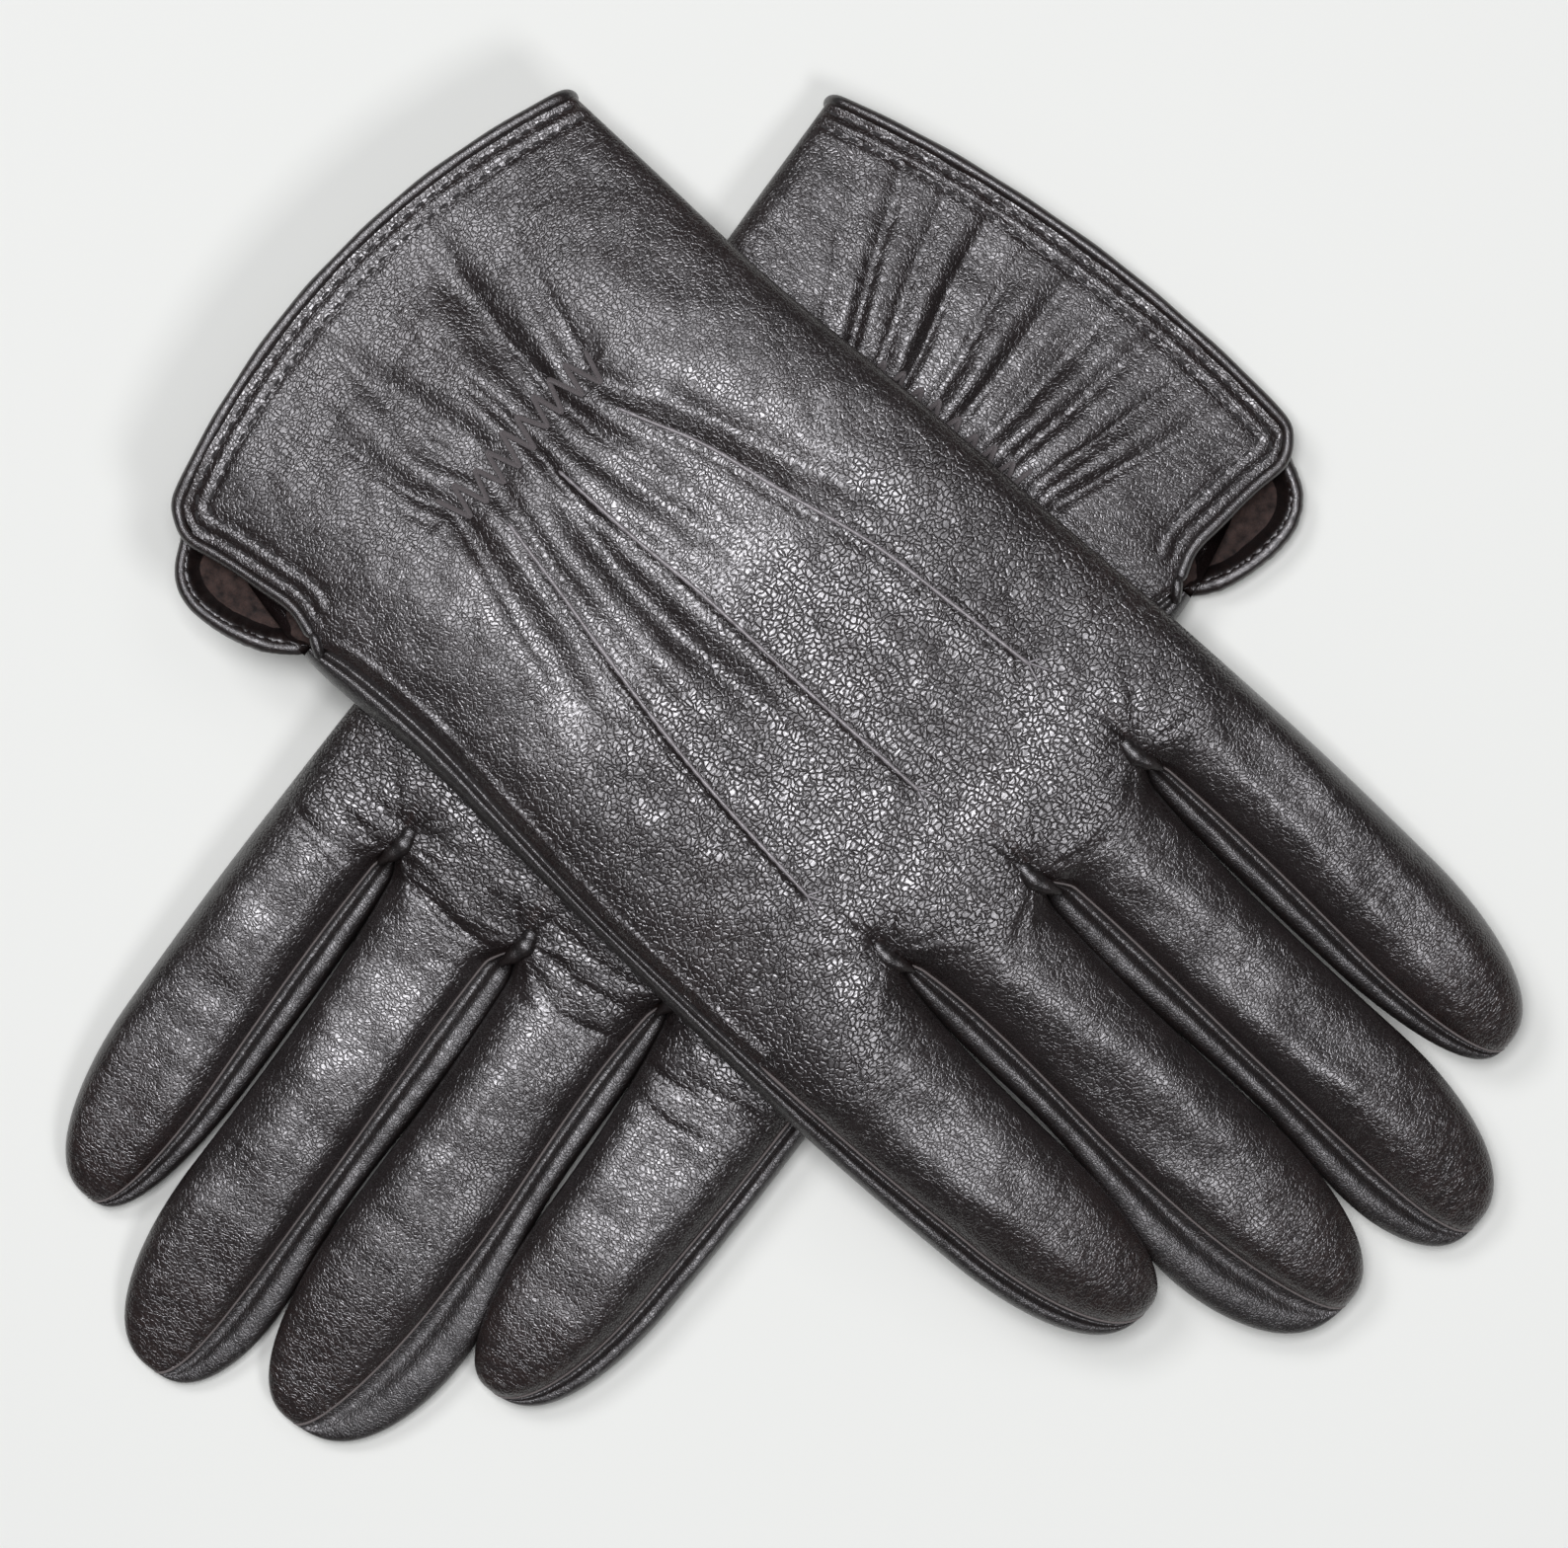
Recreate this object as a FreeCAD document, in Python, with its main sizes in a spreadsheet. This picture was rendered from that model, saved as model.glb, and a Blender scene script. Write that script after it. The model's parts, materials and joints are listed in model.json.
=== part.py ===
"""A pair of gentlemen's leather gloves, right laid across left, back sides up.

Every glove is drawn in a frame of its own: +Y to the fingertips, +Z out of the back of the hand,
and the little finger's side at +X on the right glove and at -X on the left one. The row frame is
the right glove's frame moved to the middle of the pair, with Z = 0 on the table.
"""

import FreeCAD, Part
import math
import os

import Sketcher
from FreeCAD import Placement, Rotation, Vector

DIMENSIONS = [
    # skins, from outside to inside
    ("leather", 1.0),
    ("lining_gap", 0.6),
    ("lining", 0.8),
    ("overrun", 2.0),
    # hand: a flattened sleeve from the cuff to the roots of the fingers
    ("cuff_half", 50.0),
    ("palm_half", 52.0),
    ("knuckle_half", 54.4),
    ("knuckle_shift", 1.7),
    ("cuff_depth", 13.0),
    ("hand_depth", 19.0),
    ("knuckle_depth", 14.0),
    ("knuckle_rise", 2.0),
    ("corner", 5.0),
    ("cuff_y", -6.0),
    ("wrist_y", 24.0),
    ("palm_y", 138.0),
    ("knuckle_y", 150.4),
    ("little_root_y", 143.4),
    ("little_root_x", 21.9),
    # fingers, measured from the cuff line and across the hand
    ("finger_depth", 13.0),
    ("finger_rise", 2.5),
    ("hinge_rise", 3.0),
    ("root_gap", 2.6),
    ("knuckle_hinge_y", 153.0),
    ("index_x", -44.5),
    ("index_width", 23.4),
    ("index_tip", 232.0),
    ("middle_x", -18.8),
    ("middle_width", 26.0),
    ("middle_tip", 250.0),
    ("ring_x", 8.4),
    ("ring_width", 26.0),
    ("ring_tip", 243.0),
    ("little_x", 37.6),
    ("little_width", 29.6),
    ("little_tip", 218.0),
    ("little_hinge_y", 146.0),
    ("gusset_half", 4.5),
    ("gusset_reach", 3.0),
    # thumb, tucked flat under the palm
    ("thumb_x", -38.0),
    ("thumb_y", 72.0),
    ("thumb_width", 25.0),
    ("thumb_length", 52.0),
    ("thumb_tuck", 10.0),
    ("thumb_depth", 9.0),
    ("thumb_corner", 3.5),
    ("thumb_gap", 0.5),
    ("thumb_hole", 7.0),
    ("recess_edge", -7.0),
    ("recess_start", 56.0),
    # cuff, vent and wrist
    ("vent_apex", 31.0),
    ("vent_half", 3.0),
    ("binding_width", 2.0),
    ("binding_proud", 0.6),
    ("thread", 0.5),
    ("stitch_inset", 2.0),
    ("stitch_spacing", 3.0),
    ("elastic_half", 18.0),
    ("elastic_width", 8.0),
    ("elastic_thick", 0.4),
    ("elastic_y", 34.0),
    ("zigzag_half", 3.0),
    ("tuck_width", 1.2),
    ("tuck_height", 0.6),
    # how the pair lies
    ("pair_x", -30.53),
    ("pair_y", -122.07),
    ("cross_x", -87.9),
    ("cross_y", 82.0),
    ("stack_gap", 1.0),
    ("crossing", 82.4),
    ("right_droop", 6.0),
    ("right_slope", 12.5),
    ("left_droop", 0.0),
    ("left_slope", 1.4),
]

FINGERS = ["index", "middle", "ring", "little"]
GUSSET_SIDES = {"index": [1], "middle": [-1, 1], "ring": [-1, 1], "little": [-1]}
ZIGZAG_TEETH = 9
# the three raised tucks: foot and head of each, across the hand and along it
TUCKS = [(-16.0, 48.0, -32.0, 125.0), (-1.0, 48.0, -4.0, 127.0), (13.0, 48.0, 22.0, 125.0)]

doc = FreeCAD.newDocument("leather_gloves")
dims = doc.addObject("Spreadsheet::Sheet", "dims")
for row, (alias, value) in enumerate(DIMENSIONS, start=1):
    dims.set(f"A{row}", alias)
    dims.set(f"B{row}", str(value))
    dims.setAlias(f"B{row}", alias)
doc.recompute()

nodes = []


def size(alias):
    """A driving dimension's value, in millimetres or degrees."""
    return float(getattr(dims, alias))


def bind(obj, **formulas):
    """Ties properties of obj to formulas over the sheet's aliases."""
    for name, formula in formulas.items():
        obj.setExpression(name.replace("__", "."), formula)


def on_sheet(formula):
    """The formula with every alias written as the sheet's own cell."""
    words = formula.replace("(", " ( ").replace(")", " ) ").split()
    aliases = {alias for alias, _ in DIMENSIONS}
    joined = " ".join("dims." + word if word in aliases else word for word in words)
    return joined.replace("cos (", "cos(")


def box(name, x0, x1, y0, y1, z0, z1):
    """A block between two corners, each coordinate a formula."""
    block = doc.addObject("Part::Box", name)
    spans = {"x": (x0, x1), "y": (y0, y1), "z": (z0, z1)}
    for axis, length in (("x", "Length"), ("y", "Width"), ("z", "Height")):
        low, high = spans[axis]
        block.setExpression(f"Placement.Base.{axis}", on_sheet(low))
        block.setExpression(length, on_sheet(f"( {high} ) - ( {low} )"))
    return block


def cut(name, base, tool):
    result = doc.addObject("Part::Cut", name)
    result.Base = base
    result.Tool = tool
    return result


def common(name, base, tool):
    result = doc.addObject("Part::Common", name)
    result.Base = base
    result.Tool = tool
    return result


def group(name, members):
    result = doc.addObject("Part::Compound", name)
    result.Links = members
    return result


def finish(obj, label, placement):
    """Makes obj a sub-part: its label names its file and its placement puts it in the row frame."""
    obj.Label = label
    obj.Placement = placement
    nodes.append(obj)
    return obj


def upright(sketch, y):
    """Stands a sketch across the hand at y, its own Y pointing up."""
    sketch.Placement = Placement(Vector(0, 0, 0), Rotation(Vector(1, 0, 0), 90))
    sketch.setExpression("Placement.Base.y", on_sheet(y))


def hold(sketch, kind, geometry, point, formula):
    """A distance from the sketch's origin to a point of its geometry, driven by a formula."""
    drawn = sketch.getPoint(geometry, point)
    value = drawn.x if kind == "DistanceX" else drawn.y
    added = sketch.addConstraint(Sketcher.Constraint(kind, -1, 1, geometry, point, value))
    sketch.setExpression(f"Constraints[{added}]", on_sheet(formula))


def rounded_section(name, y, left, right, bottom, top, radius):
    """A rounded rectangle across the hand, for a loft."""
    sketch = doc.addObject("Sketcher::SketchObject", name)
    upright(sketch, y)
    line, arc = Part.LineSegment, Part.ArcOfCircle
    corners = [(9, -9, 270), (9, 9, 0), (-9, 9, 90), (-9, -9, 180)]
    sides = [(-9, -10, 9, -10), (10, -9, 10, 9), (9, 10, -9, 10), (-10, 9, -10, -9)]
    for x0, z0, x1, z1 in sides:
        sketch.addGeometry(line(Vector(x0, z0, 0), Vector(x1, z1, 0)))
    for x, z, start in corners:
        circle = Part.Circle(Vector(x, z, 0), Vector(0, 0, 1), 1)
        sketch.addGeometry(arc(circle, math.radians(start), math.radians(start + 90)))
    for side in range(4):
        sketch.addConstraint(Sketcher.Constraint("Tangent", side, 2, 4 + side, 1))
        sketch.addConstraint(Sketcher.Constraint("Tangent", 4 + side, 2, (side + 1) % 4, 1))
    for side, kind in enumerate(["Horizontal", "Vertical", "Horizontal", "Vertical"]):
        sketch.addConstraint(Sketcher.Constraint(kind, side))
    for corner in (5, 6, 7):
        sketch.addConstraint(Sketcher.Constraint("Equal", 4, corner))
    rounding = sketch.addConstraint(Sketcher.Constraint("Radius", 4, 1.0))
    sketch.setExpression(f"Constraints[{rounding}]", on_sheet(radius))
    hold(sketch, "DistanceX", 3, 1, left)
    hold(sketch, "DistanceX", 1, 1, right)
    hold(sketch, "DistanceY", 0, 1, bottom)
    hold(sketch, "DistanceY", 2, 1, top)
    return sketch


def tongue(name, half, start, straight, level):
    """A tongue on a level plane: a straight root at start, parallel sides and a half-round tip."""
    sketch = doc.addObject("Sketcher::SketchObject", name)
    sketch.setExpression("Placement.Base.z", on_sheet(level))
    line = Part.LineSegment
    sketch.addGeometry(line(Vector(-9, 1, 0), Vector(9, 1, 0)))
    sketch.addGeometry(line(Vector(9, 1, 0), Vector(9, 60, 0)))
    sketch.addGeometry(line(Vector(-9, 60, 0), Vector(-9, 1, 0)))
    sketch.addGeometry(Part.ArcOfCircle(Part.Circle(Vector(0, 60, 0), Vector(0, 0, 1), 9), 0, math.pi))
    sketch.addConstraint(Sketcher.Constraint("Coincident", 0, 2, 1, 1))
    sketch.addConstraint(Sketcher.Constraint("Coincident", 2, 2, 0, 1))
    sketch.addConstraint(Sketcher.Constraint("Tangent", 1, 2, 3, 1))
    sketch.addConstraint(Sketcher.Constraint("Tangent", 3, 2, 2, 1))
    sketch.addConstraint(Sketcher.Constraint("Horizontal", 0))
    sketch.addConstraint(Sketcher.Constraint("Vertical", 1))
    sketch.addConstraint(Sketcher.Constraint("Vertical", 2))
    hold(sketch, "DistanceX", 0, 1, f"- ( {half} )")
    hold(sketch, "DistanceX", 1, 1, half)
    hold(sketch, "DistanceY", 0, 1, start)
    hold(sketch, "DistanceY", 3, 3, straight)
    return sketch


def stadium(name, half, length, level):
    """A slot outline on a level plane, its first half-round end about the origin."""
    sketch = doc.addObject("Sketcher::SketchObject", name)
    sketch.setExpression("Placement.Base.z", on_sheet(level))
    circle = Part.Circle
    up = Vector(0, 0, 1)
    sketch.addGeometry(Part.ArcOfCircle(circle(Vector(0, 0, 0), up, 9), math.pi, 2 * math.pi))
    sketch.addGeometry(Part.LineSegment(Vector(9, 0, 0), Vector(9, 60, 0)))
    sketch.addGeometry(Part.ArcOfCircle(circle(Vector(0, 60, 0), up, 9), 0, math.pi))
    sketch.addGeometry(Part.LineSegment(Vector(-9, 60, 0), Vector(-9, 0, 0)))
    for piece in range(4):
        sketch.addConstraint(Sketcher.Constraint("Tangent", piece, 2, (piece + 1) % 4, 1))
    sketch.addConstraint(Sketcher.Constraint("Coincident", 0, 3, -1, 1))
    sketch.addConstraint(Sketcher.Constraint("Vertical", 1))
    hold(sketch, "DistanceX", 1, 1, half)
    hold(sketch, "DistanceY", 2, 3, length)
    return sketch


def extrude(name, sketch, direction, length):
    """A solid of the sketch's outline, pushed along direction."""
    solid = doc.addObject("Part::Extrusion", name)
    solid.Base = sketch
    solid.DirMode = "Custom"
    solid.Dir = direction
    solid.Solid = True
    solid.setExpression("LengthFwd", on_sheet(length))
    return solid


def soften(name, base, radius, keep_root=None):
    """Rounds every level edge of base, apart from those on its open root at y = keep_root."""
    doc.recompute()
    rounded = doc.addObject("Part::Fillet", name)
    rounded.Base = base
    picked = []
    for number, edge in enumerate(base.Shape.Edges, start=1):
        box_of = edge.BoundBox
        on_root = keep_root is not None and box_of.YMax < keep_root + 0.01
        if box_of.ZLength < 0.01 and not on_root:
            picked.append((number, radius, radius))
    rounded.Edges = picked
    return rounded


def across(side, near, far):
    """A span of x given on the right glove, near < far, turned round for the left one."""
    return (near, far) if side > 0 else (f"- ( {far} )", f"- ( {near} )")


def hand_core(name, side, droop, inset, over):
    """The hand's sleeve, filled: inset all round from its outside, and over longer at each end."""
    inset = f"( {inset} )"
    shift = f"{side} * knuckle_shift"
    low = f"{droop} * -1 + {inset}"
    stations = [
        (f"cuff_y - {over}", "cuff_half", "0", low, f"cuff_depth - {droop} - {inset}"),
        ("wrist_y", "palm_half", "0", inset, f"hand_depth - {inset}"),
        ("palm_y", "palm_half", "0", inset, f"hand_depth - {inset}"),
        (
            f"knuckle_y + {over}",
            "knuckle_half",
            shift,
            f"knuckle_rise + {inset}",
            f"knuckle_rise + knuckle_depth - {inset}",
        ),
    ]
    sections = [
        rounded_section(
            f"{name}_section{number}",
            y,
            f"{inset} - {half} - {move}",
            f"{half} - {inset} - {move}",
            bottom,
            top,
            f"corner - {inset}",
        )
        for number, (y, half, move, bottom, top) in enumerate(stations)
    ]
    loft = doc.addObject("Part::Loft", name)
    loft.Sections = sections
    loft.Solid = True
    loft.Ruled = True
    x0, x1 = across(side, "-70", f"recess_edge + {inset}")
    recess = box(
        name + "_recess",
        x0,
        x1,
        f"recess_start - {inset}",
        f"palm_y + {inset}",
        "-40",
        f"thumb_depth + thumb_gap + {inset}",
    )
    return cut(name + "_with_recess", loft, recess)


def vent_wedge(name, side, droop):
    """The wedge that opens the little finger's side of the cuff, widest at the mouth."""
    sketch = doc.addObject("Sketcher::SketchObject", name + "_outline")
    sketch.Placement = Placement(Vector(side * 44.0, 0, 0), Rotation(Vector(1, 1, 1), 120))
    points = [Vector(-9, -3, 0), Vector(31, 7, 0), Vector(-9, 9, 0)]
    for start, end in zip(points, points[1:] + points[:1]):
        sketch.addGeometry(Part.LineSegment(start, end))
    for corner in range(3):
        sketch.addConstraint(Sketcher.Constraint("Coincident", corner, 2, (corner + 1) % 3, 1))
    middle = f"cuff_depth / 2 - {droop}"
    hold(sketch, "DistanceX", 0, 1, "cuff_y - 2 * binding_width")
    hold(sketch, "DistanceY", 0, 1, f"{middle} - vent_half")
    hold(sketch, "DistanceX", 1, 1, "vent_apex")
    hold(sketch, "DistanceY", 1, 1, "hand_depth / 2")
    hold(sketch, "DistanceX", 2, 1, "cuff_y - 2 * binding_width")
    hold(sketch, "DistanceY", 2, 1, f"{middle} + vent_half")
    return extrude(name, sketch, Vector(side, 0, 0), "20")


def hand_skin(name, side, droop, outer, inner):
    """One layer of the hand, open at the vent, the thumb's hole and the little finger's step."""
    outside = hand_core(name + "_outside", side, droop, outer, "0")
    inside = hand_core(name + "_inside", side, droop, inner, "overrun")
    hollow = cut(name + "_hollow", outside, inside)
    x0, x1 = across(side, "little_root_x", "70")
    step = box(name + "_step", x0, x1, "little_root_y", "knuckle_y + 9", "-40", "40")
    hole = doc.addObject("Part::Cylinder", name + "_thumb_hole")
    bind(hole, Radius=on_sheet("thumb_hole"), Height=on_sheet("4"))
    bind(
        hole,
        Placement__Base__x=on_sheet(f"{side} * thumb_x"),
        Placement__Base__y=on_sheet("thumb_y"),
        Placement__Base__z=on_sheet("thumb_depth"),
    )
    openings = group(name + "_openings", [step, hole, vent_wedge(name + "_vent", side, droop)])
    return cut(name, hollow, openings)


def finger_reach(finger, slope):
    """The formula for a finger's length from its hinge: its plan length made up for its slope."""
    hinge = "little_hinge_y" if finger == "little" else "knuckle_hinge_y"
    return f"( {finger}_tip - {hinge} ) / cos( {slope} )"


def finger_core(name, finger, slope, inset, over):
    """A finger, filled, in a frame at its hinge: flat top and palm, half-round tip, rounded edges."""
    half = f"{finger}_width / 2 - ( {inset} )"
    straight = f"{finger_reach(finger, slope)} - {finger}_width / 2"
    outline = tongue(name + "_outline", half, f"root_gap - {over}", straight, f"{inset} - hinge_rise")
    block = extrude(name + "_block", outline, Vector(0, 0, 1), f"finger_depth - 2 * ( {inset} )")
    doc.recompute()
    root = block.Shape.BoundBox.YMin
    return soften(name, block, size("corner") - value_of(inset), root)


def value_of(formula):
    """A sum of driving dimensions, worked out."""
    return sum(size(word) for word in formula.split(" + ") if word != "0")


def gusset_tools(name, finger, slope, sides):
    """Blocks over the finger's side walls, which part the gussets from the back and palm strips."""
    blocks = []
    for number, way in enumerate(sides):
        x0, x1 = across(way, f"{finger}_width / 2 - gusset_reach", f"{finger}_width / 2 + 1")
        blocks.append(
            box(
                f"{name}_{number}",
                x0,
                x1,
                "root_gap - 1",
                f"{finger_reach(finger, slope)} - {finger}_width / 2",
                "finger_depth / 2 - hinge_rise - gusset_half",
                "finger_depth / 2 - hinge_rise + gusset_half",
            )
        )
    return group(name, blocks) if len(blocks) > 1 else blocks[0]


def make_finger(glove, finger, side, slope, placement):
    """A finger's strips, gussets and lining, all on the finger's own hinge."""
    name = f"{glove}_{finger}"
    hinge_y = size("little_hinge_y" if finger == "little" else "knuckle_hinge_y")
    hinge = Vector(side * size(f"{finger}_x"), hinge_y, size("finger_rise") + size("hinge_rise"))
    at = placement.multiply(Placement(hinge, Rotation(Vector(1, 0, 0), -size(slope))))
    outer = finger_core(name + "_outer", finger, slope, "0", "0")
    inner = finger_core(name + "_inner", finger, slope, "leather", "1")
    skin = cut(name + "_skin", outer, inner)
    sides = [side * way for way in GUSSET_SIDES[finger]]
    walls = gusset_tools(name + "_part", finger, slope, sides)
    finish(cut(name + "_strip_cut", skin, walls), name + "_strip", at)
    walls = gusset_tools(name + "_keep", finger, slope, sides)
    label = name + ("_gussets" if len(sides) > 1 else "_gusset")
    finish(common(name + "_gusset_cut", skin, walls), label, at)
    sock = finger_core(name + "_sock", finger, slope, "leather + lining_gap", "0")
    space = finger_core(name + "_space", finger, slope, "leather + lining_gap + lining", "1")
    finish(cut(name + "_sock_cut", sock, space), name + "_lining", at)


def thumb_core(name, inset):
    """The thumb, filled, in a frame at the middle of its hole."""
    outline = stadium(name + "_outline", f"thumb_width / 2 - ( {inset} )", "thumb_length", inset)
    block = extrude(name + "_block", outline, Vector(0, 0, 1), f"thumb_depth - 2 * ( {inset} )")
    return soften(name, block, size("thumb_corner") - value_of(inset))


def make_thumb(glove, side, placement):
    """The thumb's leather and lining, with the round hole that opens into the palm."""
    hinge = Vector(side * size("thumb_x"), size("thumb_y"), 0)
    at = placement.multiply(Placement(hinge, Rotation(Vector(0, 0, 1), -side * size("thumb_tuck"))))
    layers = [
        ("leather", "0", "leather"),
        ("lining", "leather + lining_gap", "leather + lining_gap + lining"),
    ]
    for layer, outer, inner in layers:
        name = f"{glove}_thumb_{layer}"
        skin = cut(name + "_skin", thumb_core(name + "_outer", outer), thumb_core(name + "_inner", inner))
        hole = doc.addObject("Part::Cylinder", name + "_hole")
        bind(hole, Radius=on_sheet("thumb_hole"), Height=on_sheet("4"))
        bind(hole, Placement__Base__z=on_sheet("thumb_depth - 3.5"))
        finish(cut(name + "_cut", skin, hole), name, at)


def make_cuff(glove, side, droop, placement):
    """The bound edge of the cuff, its two rows of stitches and the tack at the vent's end."""
    name = f"{glove}_cuff"
    wall = "( leather + lining_gap + lining )"
    rim = rounded_section(
        name + "_rim",
        "cuff_y",
        "- cuff_half - binding_proud",
        "cuff_half + binding_proud",
        f"- {droop}",
        f"cuff_depth - {droop} + binding_proud",
        "corner",
    )
    mouth = rounded_section(
        name + "_mouth",
        "cuff_y + overrun",
        f"{wall} - cuff_half",
        f"cuff_half - {wall}",
        f"{wall} - {droop}",
        f"cuff_depth - {droop} - {wall}",
        f"corner - {wall}",
    )
    ring = cut(
        name + "_ring",
        extrude(name + "_rim_solid", rim, Vector(0, -1, 0), "binding_width"),
        extrude(name + "_mouth_solid", mouth, Vector(0, -1, 0), "binding_width + 2 * overrun"),
    )
    vent = vent_wedge(name + "_vent", side, droop)
    finish(cut(name + "_binding_cut", ring, vent), name + "_binding", placement)
    rows = []
    rise = f"( hand_depth - cuff_depth + {droop} ) / ( wrist_y - cuff_y )"
    for number in range(2):
        along = f"( stitch_inset + {number} * stitch_spacing )"
        seat = f"cuff_depth - {droop} + ( {along} + thread ) * {rise}"
        rows.append(
            box(
                f"{name}_row{number}",
                "corner - cuff_half",
                "cuff_half - corner",
                f"cuff_y + {along}",
                f"cuff_y + {along} + thread",
                f"{seat} + 0.02",
                f"{seat} + thread + 0.02",
            )
        )
    finish(group(name + "_rows", rows), name + "_stitching", placement)
    x0, x1 = across(side, "palm_half + 0.02", "palm_half + binding_proud")
    middle = "hand_depth / 2"
    tack = box(name + "_tack", x0, x1, "vent_apex", "vent_apex + 4", f"{middle} - 2", f"{middle} + 2")
    finish(tack, f"{glove}_vent_tack", tack_placement(tack, placement))


def tack_placement(block, placement):
    """A block's own corner, carried into the row frame."""
    doc.recompute()
    corner = Vector(block.Placement.Base)
    for axis in ("x", "y", "z"):
        block.setExpression(f"Placement.Base.{axis}", None)
    return placement.multiply(Placement(corner, Rotation()))


def make_back(glove, side, placement):
    """What is sewn on the back of the hand: tucks, side seam, the wrist's elastic and its zigzag."""
    top = "hand_depth"
    tucks = []
    for number, (x0, y0, x1, y1) in enumerate(TUCKS):
        run = Vector(side * (x1 - x0), y1 - y0, 0)
        tuck = doc.addObject("Part::Box", f"{glove}_tuck{number}")
        tuck.Length = run.Length
        bind(tuck, Width=on_sheet("tuck_width"), Height=on_sheet("tuck_height"))
        tuck.Placement = Placement(Vector(side * x0, y0, size(top)), Rotation(Vector(1, 0, 0), run))
        tucks.append(tuck)
    finish(group(f"{glove}_tuck_group", tucks), f"{glove}_back_tucks", placement)
    x0, x1 = across(side, "palm_half - corner - tuck_width", "palm_half - corner")
    seam = box(f"{glove}_seam", x0, x1, "vent_apex + 3", "palm_y", top, f"{top} + thread")
    finish(group(f"{glove}_seam_group", [seam]), f"{glove}_side_seam", placement)
    under = "hand_depth - leather - lining_gap / 2"
    band = box(
        f"{glove}_elastic",
        "- elastic_half",
        "elastic_half",
        "elastic_y - elastic_width / 2",
        "elastic_y + elastic_width / 2",
        f"{under} - elastic_thick / 2",
        f"{under} + elastic_thick / 2",
    )
    finish(group(f"{glove}_elastic_group", [band]), f"{glove}_wrist_elastic", placement)
    zigzag = doc.addObject("Part::Feature", f"{glove}_zigzag")
    zigzag.Shape = zigzag_shape(size(top))
    finish(zigzag, f"{glove}_wrist_zigzag", placement)


def zigzag_shape(level):
    """A zigzag thread lying flat: a band between a zigzag line and the same line moved up."""
    steps = 2 * ZIGZAG_TEETH
    reach = size("elastic_half")
    swing = size("zigzag_half")
    line = [
        Vector(
            -reach + 2 * reach * step / steps,
            size("elastic_y") + (swing if step % 2 else -swing),
            level,
        )
        for step in range(steps + 1)
    ]
    back = [point + Vector(0, 2 * size("thread"), 0) for point in reversed(line)]
    outline = Part.makePolygon(line + back + line[:1])
    return Part.Face(outline).extrude(Vector(0, 0, size("thread")))


def make_glove(glove, side, placement):
    """Every sub-part of one glove."""
    droop, slope = f"{glove}_droop", f"{glove}_slope"
    depths = [("leather", "0", "leather")]
    depths.append(("lining", "leather + lining_gap", "leather + lining_gap + lining"))
    for layer, outer, inner in depths:
        name = f"{glove}_hand_{layer}"
        finish(hand_skin(name + "_cut", side, droop, outer, inner), name, placement)
    for finger in FINGERS:
        make_finger(glove, finger, side, slope, placement)
    make_thumb(glove, side, placement)
    make_cuff(glove, side, droop, placement)
    make_back(glove, side, placement)


def write_parts():
    """Checks every object, then writes each sub-part to its own file."""
    doc.recompute()
    for obj in doc.Objects:
        if {"Invalid", "Error"} & set(obj.State):
            raise RuntimeError(f"{obj.Name} did not recompute")
    os.makedirs("parts", exist_ok=True)
    for old in os.listdir("parts"):
        os.remove(os.path.join("parts", old))
    for obj in nodes:
        shape = obj.Shape
        if shape.isNull() or not shape.isValid() or shape.Volume <= 0:
            raise RuntimeError(f"{obj.Label} has no valid shape")
        shape.exportStep(os.path.join("parts", obj.Label + ".step"))
        print(f"{obj.Label:28s} {len(shape.Solids)} solid(s) {shape.Volume:10.1f} mm3")


right_base = Vector(size("pair_x"), size("pair_y"), size("hand_depth") + size("stack_gap"))
left_base = Vector(
    size("cross_x") + size("pair_x"), size("cross_y") + size("pair_y"), 0
)
make_glove("right", 1, Placement(right_base, Rotation()))
make_glove("left", -1, Placement(left_base, Rotation(Vector(0, 0, 1), -size("crossing"))))
write_parts()
whole = Part.makeCompound([obj.Shape for obj in nodes]).BoundBox
for axis in "XYZ":
    print(axis, round(getattr(whole, axis + "Min"), 2), round(getattr(whole, axis + "Max"), 2))
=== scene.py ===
import bmesh
import bpy
import json
import math
import numpy as np
from mathutils import Matrix, Vector


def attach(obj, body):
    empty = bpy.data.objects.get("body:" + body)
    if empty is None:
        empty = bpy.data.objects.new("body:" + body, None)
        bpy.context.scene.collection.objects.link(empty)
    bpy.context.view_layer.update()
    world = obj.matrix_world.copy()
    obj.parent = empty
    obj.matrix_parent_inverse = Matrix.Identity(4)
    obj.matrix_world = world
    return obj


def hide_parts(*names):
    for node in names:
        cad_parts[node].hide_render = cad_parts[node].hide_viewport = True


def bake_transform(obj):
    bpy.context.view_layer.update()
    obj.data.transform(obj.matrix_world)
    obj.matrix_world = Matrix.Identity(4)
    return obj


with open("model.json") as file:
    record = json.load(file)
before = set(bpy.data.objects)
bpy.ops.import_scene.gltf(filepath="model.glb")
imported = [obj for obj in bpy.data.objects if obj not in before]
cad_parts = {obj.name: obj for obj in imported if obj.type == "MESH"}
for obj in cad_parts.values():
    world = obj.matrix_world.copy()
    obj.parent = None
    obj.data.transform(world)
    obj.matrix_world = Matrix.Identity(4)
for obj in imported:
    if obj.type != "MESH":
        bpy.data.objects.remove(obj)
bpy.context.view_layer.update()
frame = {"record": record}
joints = {joint["name"]: joint for joint in frame["record"]["behaviour"]["joints"]}
fingers = ["index", "middle", "ring", "little"]

# Every glove is worked out in millimetres in a frame of its own: x towards the little finger,
# y towards the fingertips, z out of the back of the hand. The left glove is the same, mirrored.


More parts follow.
